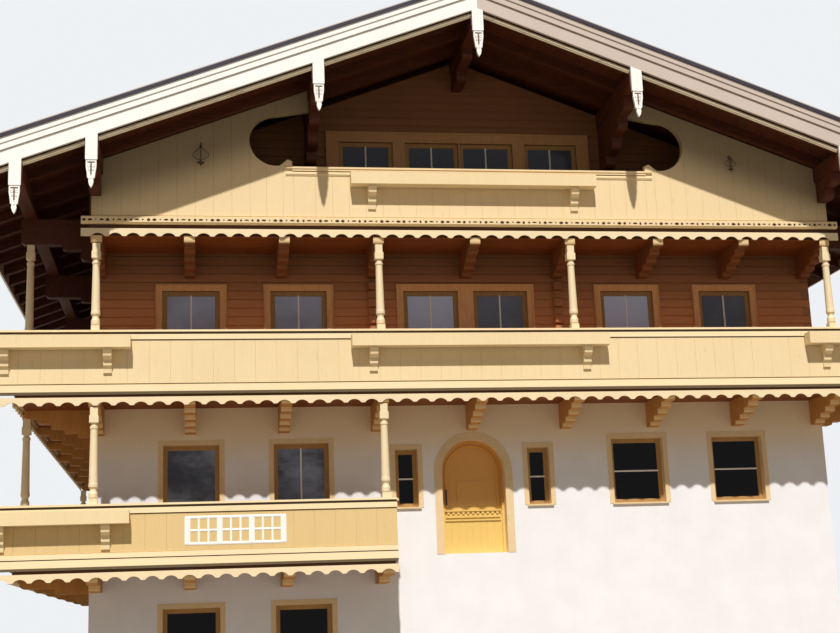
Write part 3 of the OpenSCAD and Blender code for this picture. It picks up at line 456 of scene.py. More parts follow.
def forged_iron(name, pale, dark):
    """Blackened iron with hammer marks and a little brown at the edges of them."""
    b = Bench(name)
    mark = b.cells(b.where, 55.0, "SMOOTH_F1")
    rust = b.noise(b.where, 25.0, 5.0, 0.7).step(0.55, 0.8)
    tone = b.tint(mark.step(0.1, 0.6), dark, pale)
    tone = b.tint(rust * 0.5, tone, paint(84, 52, 34))
    return b.close(tone, rust * 0.3 + 0.42, mark, 0.0015, metal=0.7)


def pane_glass(name, deep, pale):
    """Double glazing with a painted reflection. The log storey's panes are tinted towards a pale sky, each
    by its own share, the entrance storey's left panes in patches, and all others stand nearly black."""
    b = Bench(name)
    x, y, z = b.apart(b.where)
    window = (x / 2.0).floor() + 3.0
    reflection_shares = [(i / 5, (v, v, v, 1)) for i, v in enumerate((0.5, 0.52, 0.95, 0.2, 0.9, 0.16))]
    own = b.apart(b.node("ShaderNodeValToRGB", {"stops": reflection_shares}, {0: window / 5.0}))[0]
    cloud = b.noise(b.join(x * 0.9 + own * 5.0, y * 0.9, z * 1.6), 1.0, 5.0, 0.6).step(0.35, 0.7)
    attic = z.step(9.1, 9.2)
    upper = z.step(6.0, 6.1) - attic
    entrance = z.step(2.95, 3.05) - z.step(6.0, 6.1)
    left = (0.0 - x).step(2.4, 2.6)
    # Painted reflection: how much of the pale sky each pane shows
    share = upper * own * (cloud * 0.4 + 1.1) + entrance * left * (cloud * 0.45 + 0.12) + attic * 0.12
    share = share.least(1.0)
    smear = b.noise(b.where, 7.0, 4.0, 0.6)
    return b.close(b.tint(share, deep, pale), smear * 0.06 + 0.03, smear, 0.0002, 0.12,
                   alpha=share * 0.1 + 0.88)


def roof_tiles(name, pale, dark):
    """Fired tiles: each has its own tone from its place in the field, with a sandy face and lichen."""
    b = Bench(name)
    x, y = b.apart(b.where)[:2]
    row = (abs(x) / TONE_ROW).floor()
    own = b.chance((y / TONE_COLUMN).floor() * 13.0 + row * 5.0 + x.over(0.0) * 1000.0)
    cloud = b.noise(b.where, 1.2, 5.0, 0.6)
    grit = b.noise(b.where, 120.0, 3.0, 0.7)
    lichen = (1.0 - b.cells(b.where, 9.0).step(0.1, 0.3)) * b.noise(b.where, 0.8, 3.0).step(0.5, 0.7)
    tone = b.tint(own * 0.6 + cloud * 0.4, dark, pale)
    tone = b.tint(lichen * 0.6, tone, paint(150, 150, 120))
    return b.close(tone, grit * 0.1 + 0.7, grit * 0.3 + cloud * 0.3 + lichen * 0.5, 0.003, 0.3)


# Tones of the timbers, pale, middle and dark, and what like timbers share
HONEY = ((240, 218, 176), (234, 209, 163), (208, 174, 122))
WHITE = paint(251, 250, 247)
IVORY = ((250, 230, 190), (244, 221, 178), (214, 180, 130))
# Heights and half widths of dark lines on the parapets: painted shadow in their grooves and under their
# caps and bands
SHADOW_LINES = [(deck + up, half) for deck, tall in ((LOWER_DECK, 1.0), (UPPER_DECK, 1.04)) for up, half in (
    (-0.106, 0.023), (0.055, 0.007), (tall - 0.177, 0.006), (tall - 0.0555, 0.0175))]
PANELS = ((239, 220, 178), (233, 209, 164), (207, 174, 127))
LOWER_PANELS = ((226, 200, 146), (220, 190, 134), (196, 158, 104))
LOGS = ((228, 156, 102), (212, 140, 86), (148, 86, 50))
BROWN = ((92, 44, 20), (72, 31, 13), (42, 17, 7))
RUST = ((148, 82, 30), (130, 68, 24), (80, 38, 12))
CASING = ((230, 176, 122), (214, 158, 104), (156, 104, 62))
CORBEL = ((206, 150, 84), (192, 134, 68), (146, 92, 42))
JOINERY = ((190, 148, 92), (172, 130, 76), (114, 82, 46))
DOOR = ((234, 202, 120), (225, 187, 102), (180, 134, 62))
# The logs darken towards the top of the storey: painted shade under the attic floor
LOG_LOOK = {"board": (2, COURSE, -SECOND_Z / COURSE), "fine": 0.8, "age": 0.2, "joint": 0.12, "grain": 0.5,
            "rings": 0.25, "spread": 0.14, "shade_fade": (7.0, 8.9, 0.28)}
PLANED = {"rings": 0.12, "grain": 0.4}

finish = {
    "plaster": plaster("limewashed_plaster", paint(239, 239, 243), paint(178, 170, 160)),
    "concrete": stone_mix("cast_concrete", paint(176, 172, 164), paint(140, 136, 128), 2.0),
    "logs_x": timber("logs_along_front", LOGS, 0, **LOG_LOOK),
    "logs_y": timber("logs_along_sides", LOGS, 1, **LOG_LOOK, ends=(SECOND_Z, COURSE)),
    # The gable boards darken close under the roof: painted shade of the eaves
    "gable": timber("honey_boards_upright", HONEY, 2, (0, 0.28, 0.5), joint=0.6, rings=0.1, grain=0.4,
                    eaves_shade=EAVES_SHADE),
    "boarding": timber("honey_boarding", HONEY, 2, age=0.12, spread=0.1, eaves_shade=EAVES_SHADE, **PLANED),
    "panels": timber("honey_panels", PANELS, 2, age=0.15, spread=0.12, **PLANED),
    "lower_panels": timber("lower_honey_panels", LOWER_PANELS, 2, age=0.15, spread=0.12, **PLANED),
    "rails": timber("honey_rails", HONEY, 0, age=0.15, spread=0.1, **PLANED),
    "parapet": timber("pale_rails", IVORY, 0, age=0.12, spread=0.1, shadow_lines=SHADOW_LINES, **PLANED),
    # Corbel fronts are tinted pale as painted sunlight, and the corbels under the attic floor are tinted
    # dark brown as painted shade
    "corbel": timber("corbel_wood", CORBEL, 2, grain=0.6, age=0.2, nose=paint(240, 212, 160),
                     shade_fade=(*SHADED_CORBELS, paint(124, 68, 34))),
    "brown": timber("brown_beams", BROWN, 1, fine=0.8),
    "brown_across": timber("brown_rafters", BROWN, 0, fine=0.8),
    # The decks' front edges are tinted dark: painted shade in the gap under the parapets and fascias
    "deck": timber("deck_boards", RUST, 0, (1, 0.2083, 0.0), 0.8, grain=0.6, joint=0.4,
                   nose=paint(38, 24, 12)),
    "floor": timber("floor_planks", ((196, 160, 112), (178, 140, 92), (124, 90, 52)), 0, (1, 0.14, 0.0)),
    # Casings above the attic floor darken: painted shade in the loggia
    "casing": timber("casing_boards", CASING, 2, fine=1.3, rough=0.45, age=0.15, grain=0.5,
                     shade_fade=(9.2, 9.6, 0.6)),
    # Joinery above the log storey's floor darkens: painted shade under the balconies and roof
    "ochre": timber("stained_joinery", JOINERY, 2, fine=1.6, rough=0.4, age=0.2, grain=0.6,
                    shade_fade=(5.9, 6.1, 0.75)),
    # The door is tinted darker above 3.75 m: painted shadow of the upper balcony
    "door": timber("varnished_door", DOOR, 2, fine=1.4, rough=0.3, age=0.1, gloss=0.5, grain=0.2,
                   spread=0.08, shade_fade=(3.75, 4.1, paint(214, 150, 60))),
    "cream": painted_wood("cream_paint_upright", paint(238, 220, 182), 2, 0.4),
    "hanging": painted_wood("hanging_board_paint", paint(240, 220, 182), 0, 0.4),
    "white": painted_wood("white_paint_upright", WHITE, 2, 0.3),
    "white_across": painted_wood("white_paint_across", WHITE, 0, 0.3),
    "bargeboard": painted_wood("bargeboard_paint", WHITE, 0, 0.3, right=paint(204, 190, 180)),
    "bands": band_paint("pale_mineral_paint", paint(228, 202, 160), paint(238, 218, 184)),
    "metal": sheet_metal("roof_edge_metal", paint(54, 49, 64), paint(36, 31, 44), 0.55),
    "iron": forged_iron("black_iron", paint(62, 58, 54), paint(30, 28, 27)),
    "verge": painted_wood("weathered_paint", paint(228, 214, 188), 0, 0.8, paint(120, 100, 76)),
    "relief": timber("pendant_ground_wood", ((104, 82, 62), (84, 64, 46), (50, 36, 26)), 2, fine=1.4),
    # The panes' pale tint is a painted reflection of the sky
    "glass": pane_glass("painted_reflection_glass", paint(8, 7, 9), paint(196, 214, 255)),
    "tiles": roof_tiles("fired_roof_tiles", paint(92, 84, 80), paint(62, 54, 52)),
    # Dark wood behind the fascia's slots: painted shade
    "slot": timber("painted_shadow_brown", ((78, 50, 30), (60, 36, 20), (34, 20, 12)), 0),
}


def under_roof(x):
    return RIDGE_Z - SLOPE * np.abs(x)


# Solids from sections

class Pile:
    """Points and faces of one piece, gathered from many like solids."""

    def __init__(self):
        self.points = []
        self.rings = []
        self.count = 0

    def loft(self, sections, closed=False):
        """Skins over sections of shape (copies, sections, corners, 3), turned outwards by the sign of the
        volume: four-sided faces between neighbouring sections, and a flat face over each end or, if
        closed, faces from the last section back to the first."""
        copies, rows, corners = sections.shape[:3]
        index = np.arange(rows * corners).reshape(rows, corners)
        caps = np.stack([index[0][::-1], index[-1]])
        if closed:
            index = np.concatenate([index, index[:1]])
            caps = caps[:0]
        ahead = np.roll(index, -1, axis=1)
        walls = np.stack([index[:-1], ahead[:-1], ahead[1:], index[1:]], axis=-1).reshape(-1, 4)
        if signed_volume(sections[0].reshape(-1, 3), walls, caps) < 0:
            walls = walls[:, ::-1]
            caps = caps[:, ::-1]
        start = self.count + np.arange(copies)[:, None, None] * rows * corners
        self.rings.append((start + walls).reshape(-1, 4))
        self.rings.append((start + caps).reshape(-1, corners))
        self.points.append(sections.reshape(-1, 3))
        self.count += copies * rows * corners

    def piece(self, name, material, slot, body="house", smooth=False):
        """Makes the piece, gives it its finish and lets it ride on a body."""
        points = np.concatenate(self.points).astype(np.float32)
        corners = np.concatenate([ring.ravel() for ring in self.rings]).astype(np.int32)
        sizes = np.concatenate([np.full(len(ring), ring.shape[1]) for ring in self.rings])
        mesh = bpy.data.meshes.new(name)
        mesh.vertices.add(len(points))
        mesh.vertices.foreach_set("co", points.ravel())
        mesh.loops.add(len(corners))
        mesh.loops.foreach_set("vertex_index", corners)
        mesh.polygons.add(len(sizes))
        mesh.polygons.foreach_set("loop_start", (np.cumsum(sizes) - sizes).astype(np.int32))
        mesh.polygons.foreach_set("use_smooth", np.full(len(sizes), smooth))
        mesh.update(calc_edges=True)
        mesh.materials.append(finish[material])
        made = bpy.data.objects.new(name, mesh)
        bpy.context.scene.collection.objects.link(made)
        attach(made, body)


def signed_volume(points, walls, caps):
    """Volume under the faces, each cut into triangles from its first corner."""
    total = 0.0
    for faces in (walls, caps):
        a = points[faces[:, 0]]
        for i in range(1, faces.shape[1] - 1):
            total += (a * np.cross(points[faces[:, i]], points[faces[:, i + 1]])).sum()
    return total


def put(on, along, out, up):
    """Points given along a wall, out from its outer face and up, in the part's frame."""
    along, out, up = np.broadcast_arrays(np.asarray(along, float), out, up)
    places = {
        "front": (along, -HALF_D - out, up),
        "back": (-along, HALF_D + out, up),
        "left": (-HALF_W - out, -along, up),
        "right": (HALF_W + out, along, up),
    }
    return np.stack(places[on], axis=-1)


def upright_boards(pile, on, starts, ends, low, high, face, thick=0.014, ease=0.0025, steps=2):
    """Boards from starts to ends along a wall, whose foot and head are functions of the place. Each is
    an eight-cornered section of thickness and height, carried across the board's width and drawn in by
    the ease at both edges."""
    starts = np.asarray(starts, float)[:, None] + 0.0008
    ends = np.asarray(ends, float)[:, None] - 0.0008
    share = np.concatenate([[0.0], np.linspace(0, 1, steps + 1), [1.0]])
    edge = np.concatenate([[0.0, ease], np.zeros(steps - 1), [-ease, 0.0]])
    x = starts + (ends - starts) * share + edge
    draw = np.concatenate([[ease], np.zeros(steps + 1), [ease]])
    flat = 0 * draw
    proud = thick - draw
    near = face + np.stack([flat, flat, flat + ease, proud, proud, flat + ease, flat, flat], axis=-1)
    foot, head = low(x) + draw, high(x) - draw
    tall = np.stack([foot + ease, foot, foot, foot + ease, head - ease, head, head, head - ease], axis=-1)
    pile.loft(put(on, x[..., None], near, tall))


def moulded_bar(pile, on, a, b, wide, back, front):
    """A bar from a to b, each (along, up), with a rounded front: an eight-cornered section carried along
    the straight line between them."""
    a = np.asarray(a, float)
    b = np.asarray(b, float)
    across = np.array([-(b - a)[1], (b - a)[0]]) / np.hypot(*(b - a))
    side = np.array([-1, -1, -0.72, -0.3, 0.3, 0.72, 1, 1]) * wide / 2
    depth = np.array([0, 0.45, 0.62, 1, 1, 0.62, 0.45, 0])
    out = back + depth * (front - back)
    ends = np.stack([a, b])
    x = ends[:, None, 0] + across[0] * side
    z = ends[:, None, 1] + across[1] * side
    pile.loft(put(on, x, out, z)[None])


def board_edges(start, end, pitch):
    """Where the joints fall between start and end at about this pitch."""
    count = max(1, round((end - start) / pitch))
    edges = np.linspace(start, end, count + 1)
    return edges[:-1], edges[1:]


def level(height):
    return lambda x: np.full_like(x, height)


def roof_line(drop):
    return lambda x: under_roof(x) - drop


# Boarded gables

def ear_top(x):
    """Top of the small ear of board at the foot of each lobe: a steep rise, a peak and a long fall."""
    off = np.abs(x) - LOGGIA_HALF
    return np.interp(off, [0.0, 0.07, 0.09, 0.24, 0.28], [10.35, 10.385, 10.385, 10.26, 10.18], 0.0, 0.0)


def loggia_low(x):
    """Lower edge of the loggia's outline beyond the middle purlins."""
    off = np.abs(x) - LOBE_X
    circle = LOBE_Z - np.sqrt(np.maximum(LOBE_R ** 2 - off ** 2, 0))
    return np.maximum(np.where(np.abs(x) < LOGGIA_HALF, LOGGIA_LOW, circle), ear_top(x))


def loggia_high(x):
    """Upper edge of the loggia's outline beyond the middle purlins."""
    off = np.abs(x) - LOBE_X
    circle = LOBE_Z + np.sqrt(np.maximum(LOBE_R ** 2 - off ** 2, 0))
    slant = LOBE_Z + LOBE_R + 0.12 * (LOBE_X - np.abs(x)) / (LOBE_X - PURLIN_MID)
    return np.where(np.abs(x) < LOBE_X, slant, circle)


def board_front_gable():
    """Upright boards over the front gable, cut along the loggia's outline and under the roof."""
    pile = Pile()
    foot = level(ATTIC_Z + 0.096)
    roof = roof_line(0.004)
    starts, ends = board_edges(-PURLIN_MID, PURLIN_MID, 0.32)
    upright_boards(pile, "front", starts, ends, foot, level(LOGGIA_LOW - 0.038), REACH)
    ear = LOGGIA_HALF - 0.02
    lobe = LOBE_X + LOBE_R
    purlin = PURLINS[5] - 0.125
    for side in (-1, 1):
        for near, far, low, high, steps in (
            (PURLIN_MID, ear, foot, lambda x: np.minimum(loggia_low(x), LOGGIA_LOW - 0.038), 2),
            (ear, ear + 0.2, foot, lambda x: loggia_low(x) - 0.003, 12),
            (ear + 0.2, lobe, foot, lambda x: loggia_low(x) - 0.003, 10),
            (PURLIN_MID + 0.12, LOBE_X, lambda x: loggia_high(x) + 0.003, roof, 3),
            (LOBE_X, lobe, lambda x: loggia_high(x) + 0.003, roof, 10),
            (lobe, purlin, foot, roof, 2),
            (purlin, HALF_W - 0.042, foot, roof_line(0.265 + 0.046), 2),
        ):
            starts, ends = board_edges(near, far, 0.32)
            if side < 0:
                starts, ends = -ends, -starts
            upright_boards(pile, "front", starts, ends, low, high, REACH, steps=steps)
    pile.piece("gable_front_boarding", "boarding", "honey_boards")


def board_back_gable():
    """Upright boards over the back gable, round its two windows."""
    pile = Pile()
    foot = level(ATTIC_Z + 0.004)
    roof = roof_line(0.004)
    sill = level(9.84)
    head = level(ATTIC_HEAD + CASING_W)
    end = HALF_W - 0.01
    half = LOG_WINDOW[0] / 2 + CASING_W - 0.003
    inner, outer = 1.8 - half, 1.8 + half
    for near, far, low, high in (
        (-end, -outer, foot, roof), (-outer, -inner, foot, sill), (-outer, -inner, head, roof),
        (-inner, inner, foot, roof), (inner, outer, foot, sill), (inner, outer, head, roof),
        (outer, end, foot, roof),
    ):
        starts, ends = board_edges(near, far, 0.28)
        upright_boards(pile, "back", starts, ends, low, high, 0.0)
    pile.piece("gable_back_boarding", "boarding", "honey_boards")


# Balconies

def board_parapets():
    """Upright boards on the outer faces of both balconies' parapets."""
    side_end = HALF_D + REACH - 0.15
    front_end = HALF_W + REACH + END_OVER
    for name, look, deck, height, foot, runs in (
        ("lower_balcony_boarding", "lower_panels", LOWER_DECK, 1.0, 0.156, (
            ("front", -front_end, -LOWER_END), ("left", -HALF_D, side_end))),
        ("upper_balcony_boarding", "panels", UPPER_DECK, 1.04, 0.066, (
            ("front", -front_end, front_end), ("left", -HALF_D, side_end), ("right", -side_end, HALF_D))),
    ):
        pile = Pile()
        for on, near, far in runs:
            starts, ends = board_edges(near + 0.004, far - 0.004, 0.38)
            low, high = level(deck + foot), level(deck + height - 0.184)
            upright_boards(pile, on, starts, ends, low, high, REACH, 0.011)
        pile.piece(name, look, "honey_boards")


SLOT = np.array([[-0.4, -0.6], [0, -0.8], [0.4, -0.6], [0.5, -0.2], [0.36, 0.1], [0, 0.45], [-0.36, 0.1],
                 [-0.5, -0.2]])


def carve_fascia():
    """Slotted carving along the gable's fascia, with a dark board behind it as painted shade in the slots.
    Each
    slot stands upright with a pointed head: a flat ring between a rectangle and an eight-cornered slot, and
    the slot's walls behind it. The slots' widths and heights swing by sines of their number, as in a carved
    tendril."""
    end = HALF_W + FASCIA_OVER - 0.005
    low, high, face, thick = ATTIC_Z - 0.04, ATTIC_Z + 0.062, REACH + 0.05, 0.012
    count = int(2 * end / 0.105)
    number = np.arange(count)[:, None]
    half, tall = end / count, (high - low) / 2
    place, mid = (2 * number + 1) * half - end, (low + high) / 2
    ring = np.array([[-1, -1], [0, -1], [1, -1], [1, 0], [1, 1], [0, 1], [-1, 1], [-1, 0]])
    outer = np.stack(np.broadcast_arrays(place + ring[:, 0] * half, mid + ring[:, 1] * tall), axis=-1)
    inner = np.stack([place + SLOT[:, 0] * half * (1.2 + 0.6 * np.sin(2.3 * number)),
                      mid + SLOT[:, 1] * tall * (0.75 + 0.25 * np.sin(1.7 * number + 1.0))], axis=-1)
    layers = np.stack([outer, outer, inner, inner], axis=1)
    out = np.array([face, face + thick, face + thick, face])[:, None]
    carved = Pile()
    carved.loft(put("front", layers[..., 0], out, layers[..., 1]), closed=True)
    carved.piece("carved_fascia_strips", "rails", "honey_boards")
    # A dark board behind the slots: painted shade in them
    behind = Pile()
    upright_boards(behind, "front", [-end], [end], level(low + 0.004), level(high - 0.004),
                   face - 0.0045, 0.005, 0.001)
    behind.piece("shadow_boards", "slot", "brown_timber")


def line_verges():
    """A narrow moulded strip under each bargeboard, from purlin to purlin, a dark gap below the board."""
    pile = Pile()
    stops = [0.0, *PURLINS[4:], EAVES_X + PENDANT_W / 2 - 0.03]
    back = VERGE_Y - HALF_D - 0.1
    for on in ("front", "back"):
        for near, far in zip(stops[:-1], stops[1:]):
            for side in (-1, 1):
                a = side * (near + PENDANT_W / 2 + 0.004)
                b = side * (far - PENDANT_W / 2 - 0.004)
                moulded_bar(pile, on, (a, under_roof(a)), (b, under_roof(b)), 0.085, back, back + 0.04)
    pile.piece("verge_strips", "verge", "pale_boards")


def pendant_carving():
    """Carving on the boards at the purlins' ends: a dark bar and stem cut into the wood, with small rings
    on both sides of the stem and a drop under it, each a closed loop of short rounded lengths."""
    ground, relief = Pile(), Pile()
    face = VERGE_Y - HALF_D
    turn = np.linspace(0, 2 * np.pi, 13)
    loops = [np.stack([across + wide * np.cos(turn), drop + tall * np.sin(turn)], axis=-1)
             for across, drop, wide, tall in (
                 (0, -0.775, 0.02, 0.03), (-0.04, -0.57, 0.021, 0.021), (0.04, -0.57, 0.021, 0.021),
                 (-0.034, -0.64, 0.016, 0.016), (0.034, -0.64, 0.016, 0.016))]
    for on, side in (("front", 1), ("back", -1)):
        for place in PURLINS:
            top = under_roof(place) + 0.07
            middle = side * place
            for half, low, high in ((0.066, 0.518, 0.49), (0.014, 0.735, 0.519)):
                upright_boards(ground, on, [middle - half], [middle + half], level(top - low),
                               level(top - high), face - 0.0035, 0.0045, 0.001)
            for path in loops:
                for a, b in zip(path[:-1] + [middle, top], path[1:] + [middle, top]):
                    moulded_bar(relief, on, a, b, 0.014, face, face + 0.01)
            moulded_bar(relief, on, (middle - 0.1, top - 0.45), (middle + 0.1, top - 0.45), 0.03,
                        face - 0.001, face + 0.014)
    ground.piece("pendant_grounds", "relief", "brown_timber")
    relief.piece("pendant_relief", "white", "pale_boards")


# Log storey

def stack_log_ends():
    """Ends of a cross wall's logs, course on course, every other one longer and notched at its nose."""
    pile = Pile()
    course = np.arange(13)
    low = SECOND_Z + course * COURSE + 0.003
    high = low + COURSE - 0.006
    long = course % 2 == 0
    reach = np.where(long, 0.15, 0.1)
    half = np.where(long, 0.085, 0.078)
    outs = np.stack([-0.004 + 0 * reach, reach * 0.55, reach - 0.025, reach], axis=-1)
    wide = np.stack([half, half, half, half - 0.02], axis=-1)[..., None]
    sink = np.array([0, 0, 0.004, 0.022])[None, :, None]
    corner = np.array([[-1, -0.86], [-0.86, -1], [0.86, -1], [1, -0.86], [1, 0.86], [0.86, 1], [-0.86, 1],
                       [-1, 0.86]])
    mid = ((low + high) / 2)[:, None, None]
    tall = ((high - low) / 2)[:, None, None] - sink
    for middle in (-1.86, 1.86):
        pile.loft(put("front", middle + corner[:, 0] * wide, outs[..., None], mid + corner[:, 1] * tall))
    pile.piece("cross_wall_log_ends", "logs_y", "dark_logs")


# Windows

# Wall, bars across the panes, size, head, and the openings' middles along the wall
OPENINGS = [
    ("front", "none", WINDOW, LOWER_HEAD, (-5.36, -3.3)),
    ("front", "none", WINDOW, FIRST_HEAD, (-5.36,)),
    ("front", "upright", TALL_WINDOW, FIRST_HEAD, (-3.3,)),
    ("front", "level", WINDOW, FIRST_HEAD, (3.3, 5.36)),
    ("front", "level", DOOR_LIGHT, FIRST_Z + 2.01, (-1.295, 1.295)),
    ("back", "upright", WINDOW, LOWER_HEAD, (3.3, 5.36)),
    ("back", "upright", WINDOW, FIRST_HEAD, (-5.36, -1.8, 1.8, 5.36)),
    ("left", "upright", WINDOW, LOWER_HEAD, (-4.4, -1.5, 1.5, 4.4)),
    ("left", "upright", WINDOW, FIRST_HEAD, (-4.4, -1.5, 4.4)),
    ("left", "upright", TALL_WINDOW, FIRST_HEAD, (1.5,)),
    ("right", "upright", WINDOW, FIRST_HEAD, (-4.4, -1.5, 1.5, 4.4)),
    ("front", "upright", LOG_WINDOW, SECOND_HEAD, (-5.36, -3.3, 3.3, 5.36)),
    ("front", "upright", TALL_LOG_WINDOW, SECOND_HEAD, (-0.7, 0.7)),
    ("front", "upright", LOG_WINDOW, ATTIC_HEAD, (-1.9, 1.9)),
    ("front", "upright", TALL_LOG_WINDOW, ATTIC_HEAD, (-0.56, 0.56)),
    ("back", "upright", LOG_WINDOW, SECOND_HEAD, (-5.36, -1.8, 1.8, 5.36)),
    ("back", "upright", LOG_WINDOW, ATTIC_HEAD, (-1.8, 1.8)),
    ("left", "upright", LOG_WINDOW, SECOND_HEAD, (-4.4, -1.5, 4.4)),
    ("left", "upright", TALL_LOG_WINDOW, SECOND_HEAD, (1.5,)),
    ("right", "upright", LOG_WINDOW, SECOND_HEAD, (-4.4, -1.5, 4.4)),
    ("right", "upright", TALL_LOG_WINDOW, SECOND_HEAD, (1.5,)),
]


def glaze_windows():
    """Bars across the panes, a glazing bead round each pane, and beads on the casings of the log storey's
    four small windows in front."""
    bars, beads, edges = Pile(), Pile(), Pile()
    thin = 0.03
    for on, way, (wide, tall, recess), head, middles in OPENINGS:
        back, front = -recess - 0.0232, -recess - 0.002
        low, top = head - tall + SASH, head - SASH
        centre = (low + top) / 2
        for middle in middles:
            left, right = middle - wide / 2 + SASH, middle + wide / 2 - SASH
            if way == "upright":
                moulded_bar(bars, on, (middle, low), (middle, top), thin, back, front)
            elif way == "level":
                moulded_bar(bars, on, (left, centre), (right, centre), thin, back, front)
            corners = [(left, low), (right, low), (right, top), (left, top)]
            for a, b in zip(corners, corners[1:] + corners[:1]):
                moulded_bar(beads, on, a, b, thin, back, front - 0.006)
    half = LOG_WINDOW[0] / 2 + CASING_W
    low = SECOND_HEAD - LOG_WINDOW[1] + 0.01
    top = SECOND_HEAD + CASING_W
    for middle in (-5.36, -3.3, 3.3, 5.36):
        path = [(middle - half, low), (middle - half, top), (middle + half, top), (middle + half, low)]
        for a, b in zip(path[:-1], path[1:]):
            moulded_bar(edges, "front", a, b, 0.02, 0.0275, 0.042)
    edges.piece("casing_beads", "corbel", "ochre_joinery")
    bars.piece("window_bars", "white", "pale_boards")
    beads.piece("glazing_beads", "ochre", "ochre_joinery")


# Roof

def lay_tiles(side, name):
    """Rows of tiles up one slope. A tile is a surface on a grid across and along: a shallow wave across,
    rising by its own thickness from head to tail, closed by a skirt and an underside."""
    rows, columns, thick = 30, 60, 0.03
    fall = math.hypot(1, SLOPE)
    run = (EAVES_X - 0.075) / rows
    wide = 2 * TILED_Y / columns
    across = np.linspace(0, 1, 7)
    wave = 0.009 * np.cos(2 * np.pi * across) + 0.003 * np.cos(4 * np.pi * across)
    top = np.stack([thick + wave, 0.0035 + 0.35 * wave])
    lift = np.concatenate([top, np.full((2, 7), 0.0005)], axis=1)
    ring = np.concatenate([across, across[::-1]])
    y = (np.arange(columns)[:, None, None] + 0.985 * ring + 0.0075) * wide - TILED_Y
    far = EAVES_X - 0.012 - (np.arange(rows)[:, None] + np.array([-0.035, 1.0])) * run
    far = np.clip(far, 0.03, EAVES_X - 0.004)[:, None, :, None]
    x = side * np.minimum(far + lift * SLOPE / fall, EAVES_X)
    z = RIDGE_Z + ROOF_TOP - SLOPE * far + lift / fall
    pile = Pile()
    pile.loft(np.stack(np.broadcast_arrays(x, y, z), axis=-1).reshape(-1, 2, 14, 3))
    pile.piece(name, "tiles", "roof_covering")


def cap_ridge():
    """Half-round ridge tiles, each a little wider at one end, overlapping along the ridge."""
    count = 44
    length = 2 * TILED_Y / count
    angle = np.linspace(-1.12, 1.12, 9)
    share = np.array([0.0, 0.06, 1.0, 1.04])
    radius = np.array([0.125, 0.128, 0.118, 0.118])
    ring_r = radius[:, None] * np.repeat([1.0, 0.86], 9)
    ring_a = np.concatenate([angle, angle[::-1]])
    x = ring_r * np.sin(ring_a)
    z = RIDGE_Z + ROOF_TOP - 0.076 + ring_r * np.cos(ring_a)
    y = (np.arange(count)[:, None] + np.minimum(share, 1.0)) * length - TILED_Y
    y = np.minimum(y + (share > 1) * 0.02, VERGE_Y - 0.07)
    pile = Pile()
    pile.loft(np.stack(np.broadcast_arrays(x, y[..., None], z), axis=-1))
    pile.piece("ridge_tiles", "tiles", "roof_covering")


# Small ironwork and turned pieces

def turned(pile, on, along, out, base, profile, sides=16):
    """A turned piece: rings of the profile's (radius, height) pairs about an upright line."""
    profile = np.asarray(profile, float)
    angle = np.arange(sides) * 2 * np.pi / sides
    radius, rise = profile[:, None, 0], profile[:, None, 1]
    pile.loft(put(on, along + radius * np.cos(angle), out + radius * np.sin(angle), base + rise)[None])


def bent_rod(pile, on, path, radius, sides=6):
    """A rod carried along a path of (along, out, up) points that lies in an upright plane: a ring square
    to the path at each point."""
    ahead = np.gradient(path, axis=0)
    ahead /= np.linalg.norm(ahead, axis=1, keepdims=True)
    flat = path.max(axis=0) - path.min(axis=0)
    normal = np.array([1.0, 0, 0] if flat[0] < flat[1] else [0, 1.0, 0])
    other = np.cross(ahead, normal)
    turn = np.arange(sides) * 2 * np.pi / sides
    ring = radius * (np.cos(turn)[:, None] * normal + np.sin(turn)[:, None] * other[:, None])
    ring = path[:, None] + ring
    pile.loft(put(on, ring[..., 0], ring[..., 1], ring[..., 2])[None])


def hang_lanterns():
    """A small open iron lantern on each side of the gable: a dish with a drop, a stem up to a hook on the
    wall, and four stays that bow out from its head and curl in again over the dish."""
    pile = Pile()
    turn = np.linspace(0, 1, 11)
    for along, base, size in ((-5.17, 10.24, 1.0), (5.2, 10.27, 0.75)):
        out = REACH + 0.014 + 0.13 * size
        turned(pile, "front", along, out, base, np.array([
            [0.004, -0.05], [0.012, -0.035], [0.02, -0.012], [0.066, 0.006], [0.07, 0.014], [0.03, 0.022],
            [0.01, 0.03], [0.007, 0.05], [0.007, 0.37]]) * size)
        turned(pile, "front", along, out, base + 0.3 * size, np.array([
            [0.008, 0.0], [0.024, 0.008], [0.024, 0.02], [0.008, 0.035]]) * size)
        swell = 0.15 * np.sin(np.pi * turn ** 1.5) * (1 - 0.1 * turn)
        for across, away in ((1, 0), (-1, 0), (0, 1), (0, -0.8)):
            stay = np.stack([along + size * across * (0.006 + swell),
                             out + size * away * (0.006 + 0.8 * swell),
                             base + size * (0.33 - 0.27 * turn)], axis=-1)
            bent_rod(pile, "front", stay, 0.006 * size)
        arm = np.stack([np.full(11, along), out - (out - REACH - 0.014) * turn,
                        base + size * (0.365 + 0.05 * np.sin(np.pi * turn))], axis=-1)
        bent_rod(pile, "front", arm, 0.008 * size)
        turned(pile, "front", along, REACH + 0.02, base + 0.33 * size, np.array([
            [0.004, 0], [0.014, 0.02], [0.014, 0.07], [0.004, 0.09]]) * size, 12)
    pile.piece("gable_lanterns", "iron", "dark_iron", smooth=True)


def band_loggia_rail():
    """A moulded band on the boards under the loggia's rail, and the rail's ends past the opening."""
    pile = Pile()
    half = 3.59
    back = REACH + 0.0135
    moulded_bar(pile, "front", (-half, 10.1), (half, 10.1), 0.075, back, back + 0.026)
    for side in (-1, 1):
        a, b = sorted((side * (LOGGIA_HALF + 0.002), side * half))
        moulded_bar(pile, "front", (a, 10.21), (b, 10.21), 0.038, back, back + 0.045)
    pile.piece("loggia_rail_band", "rails", "honey_boards")


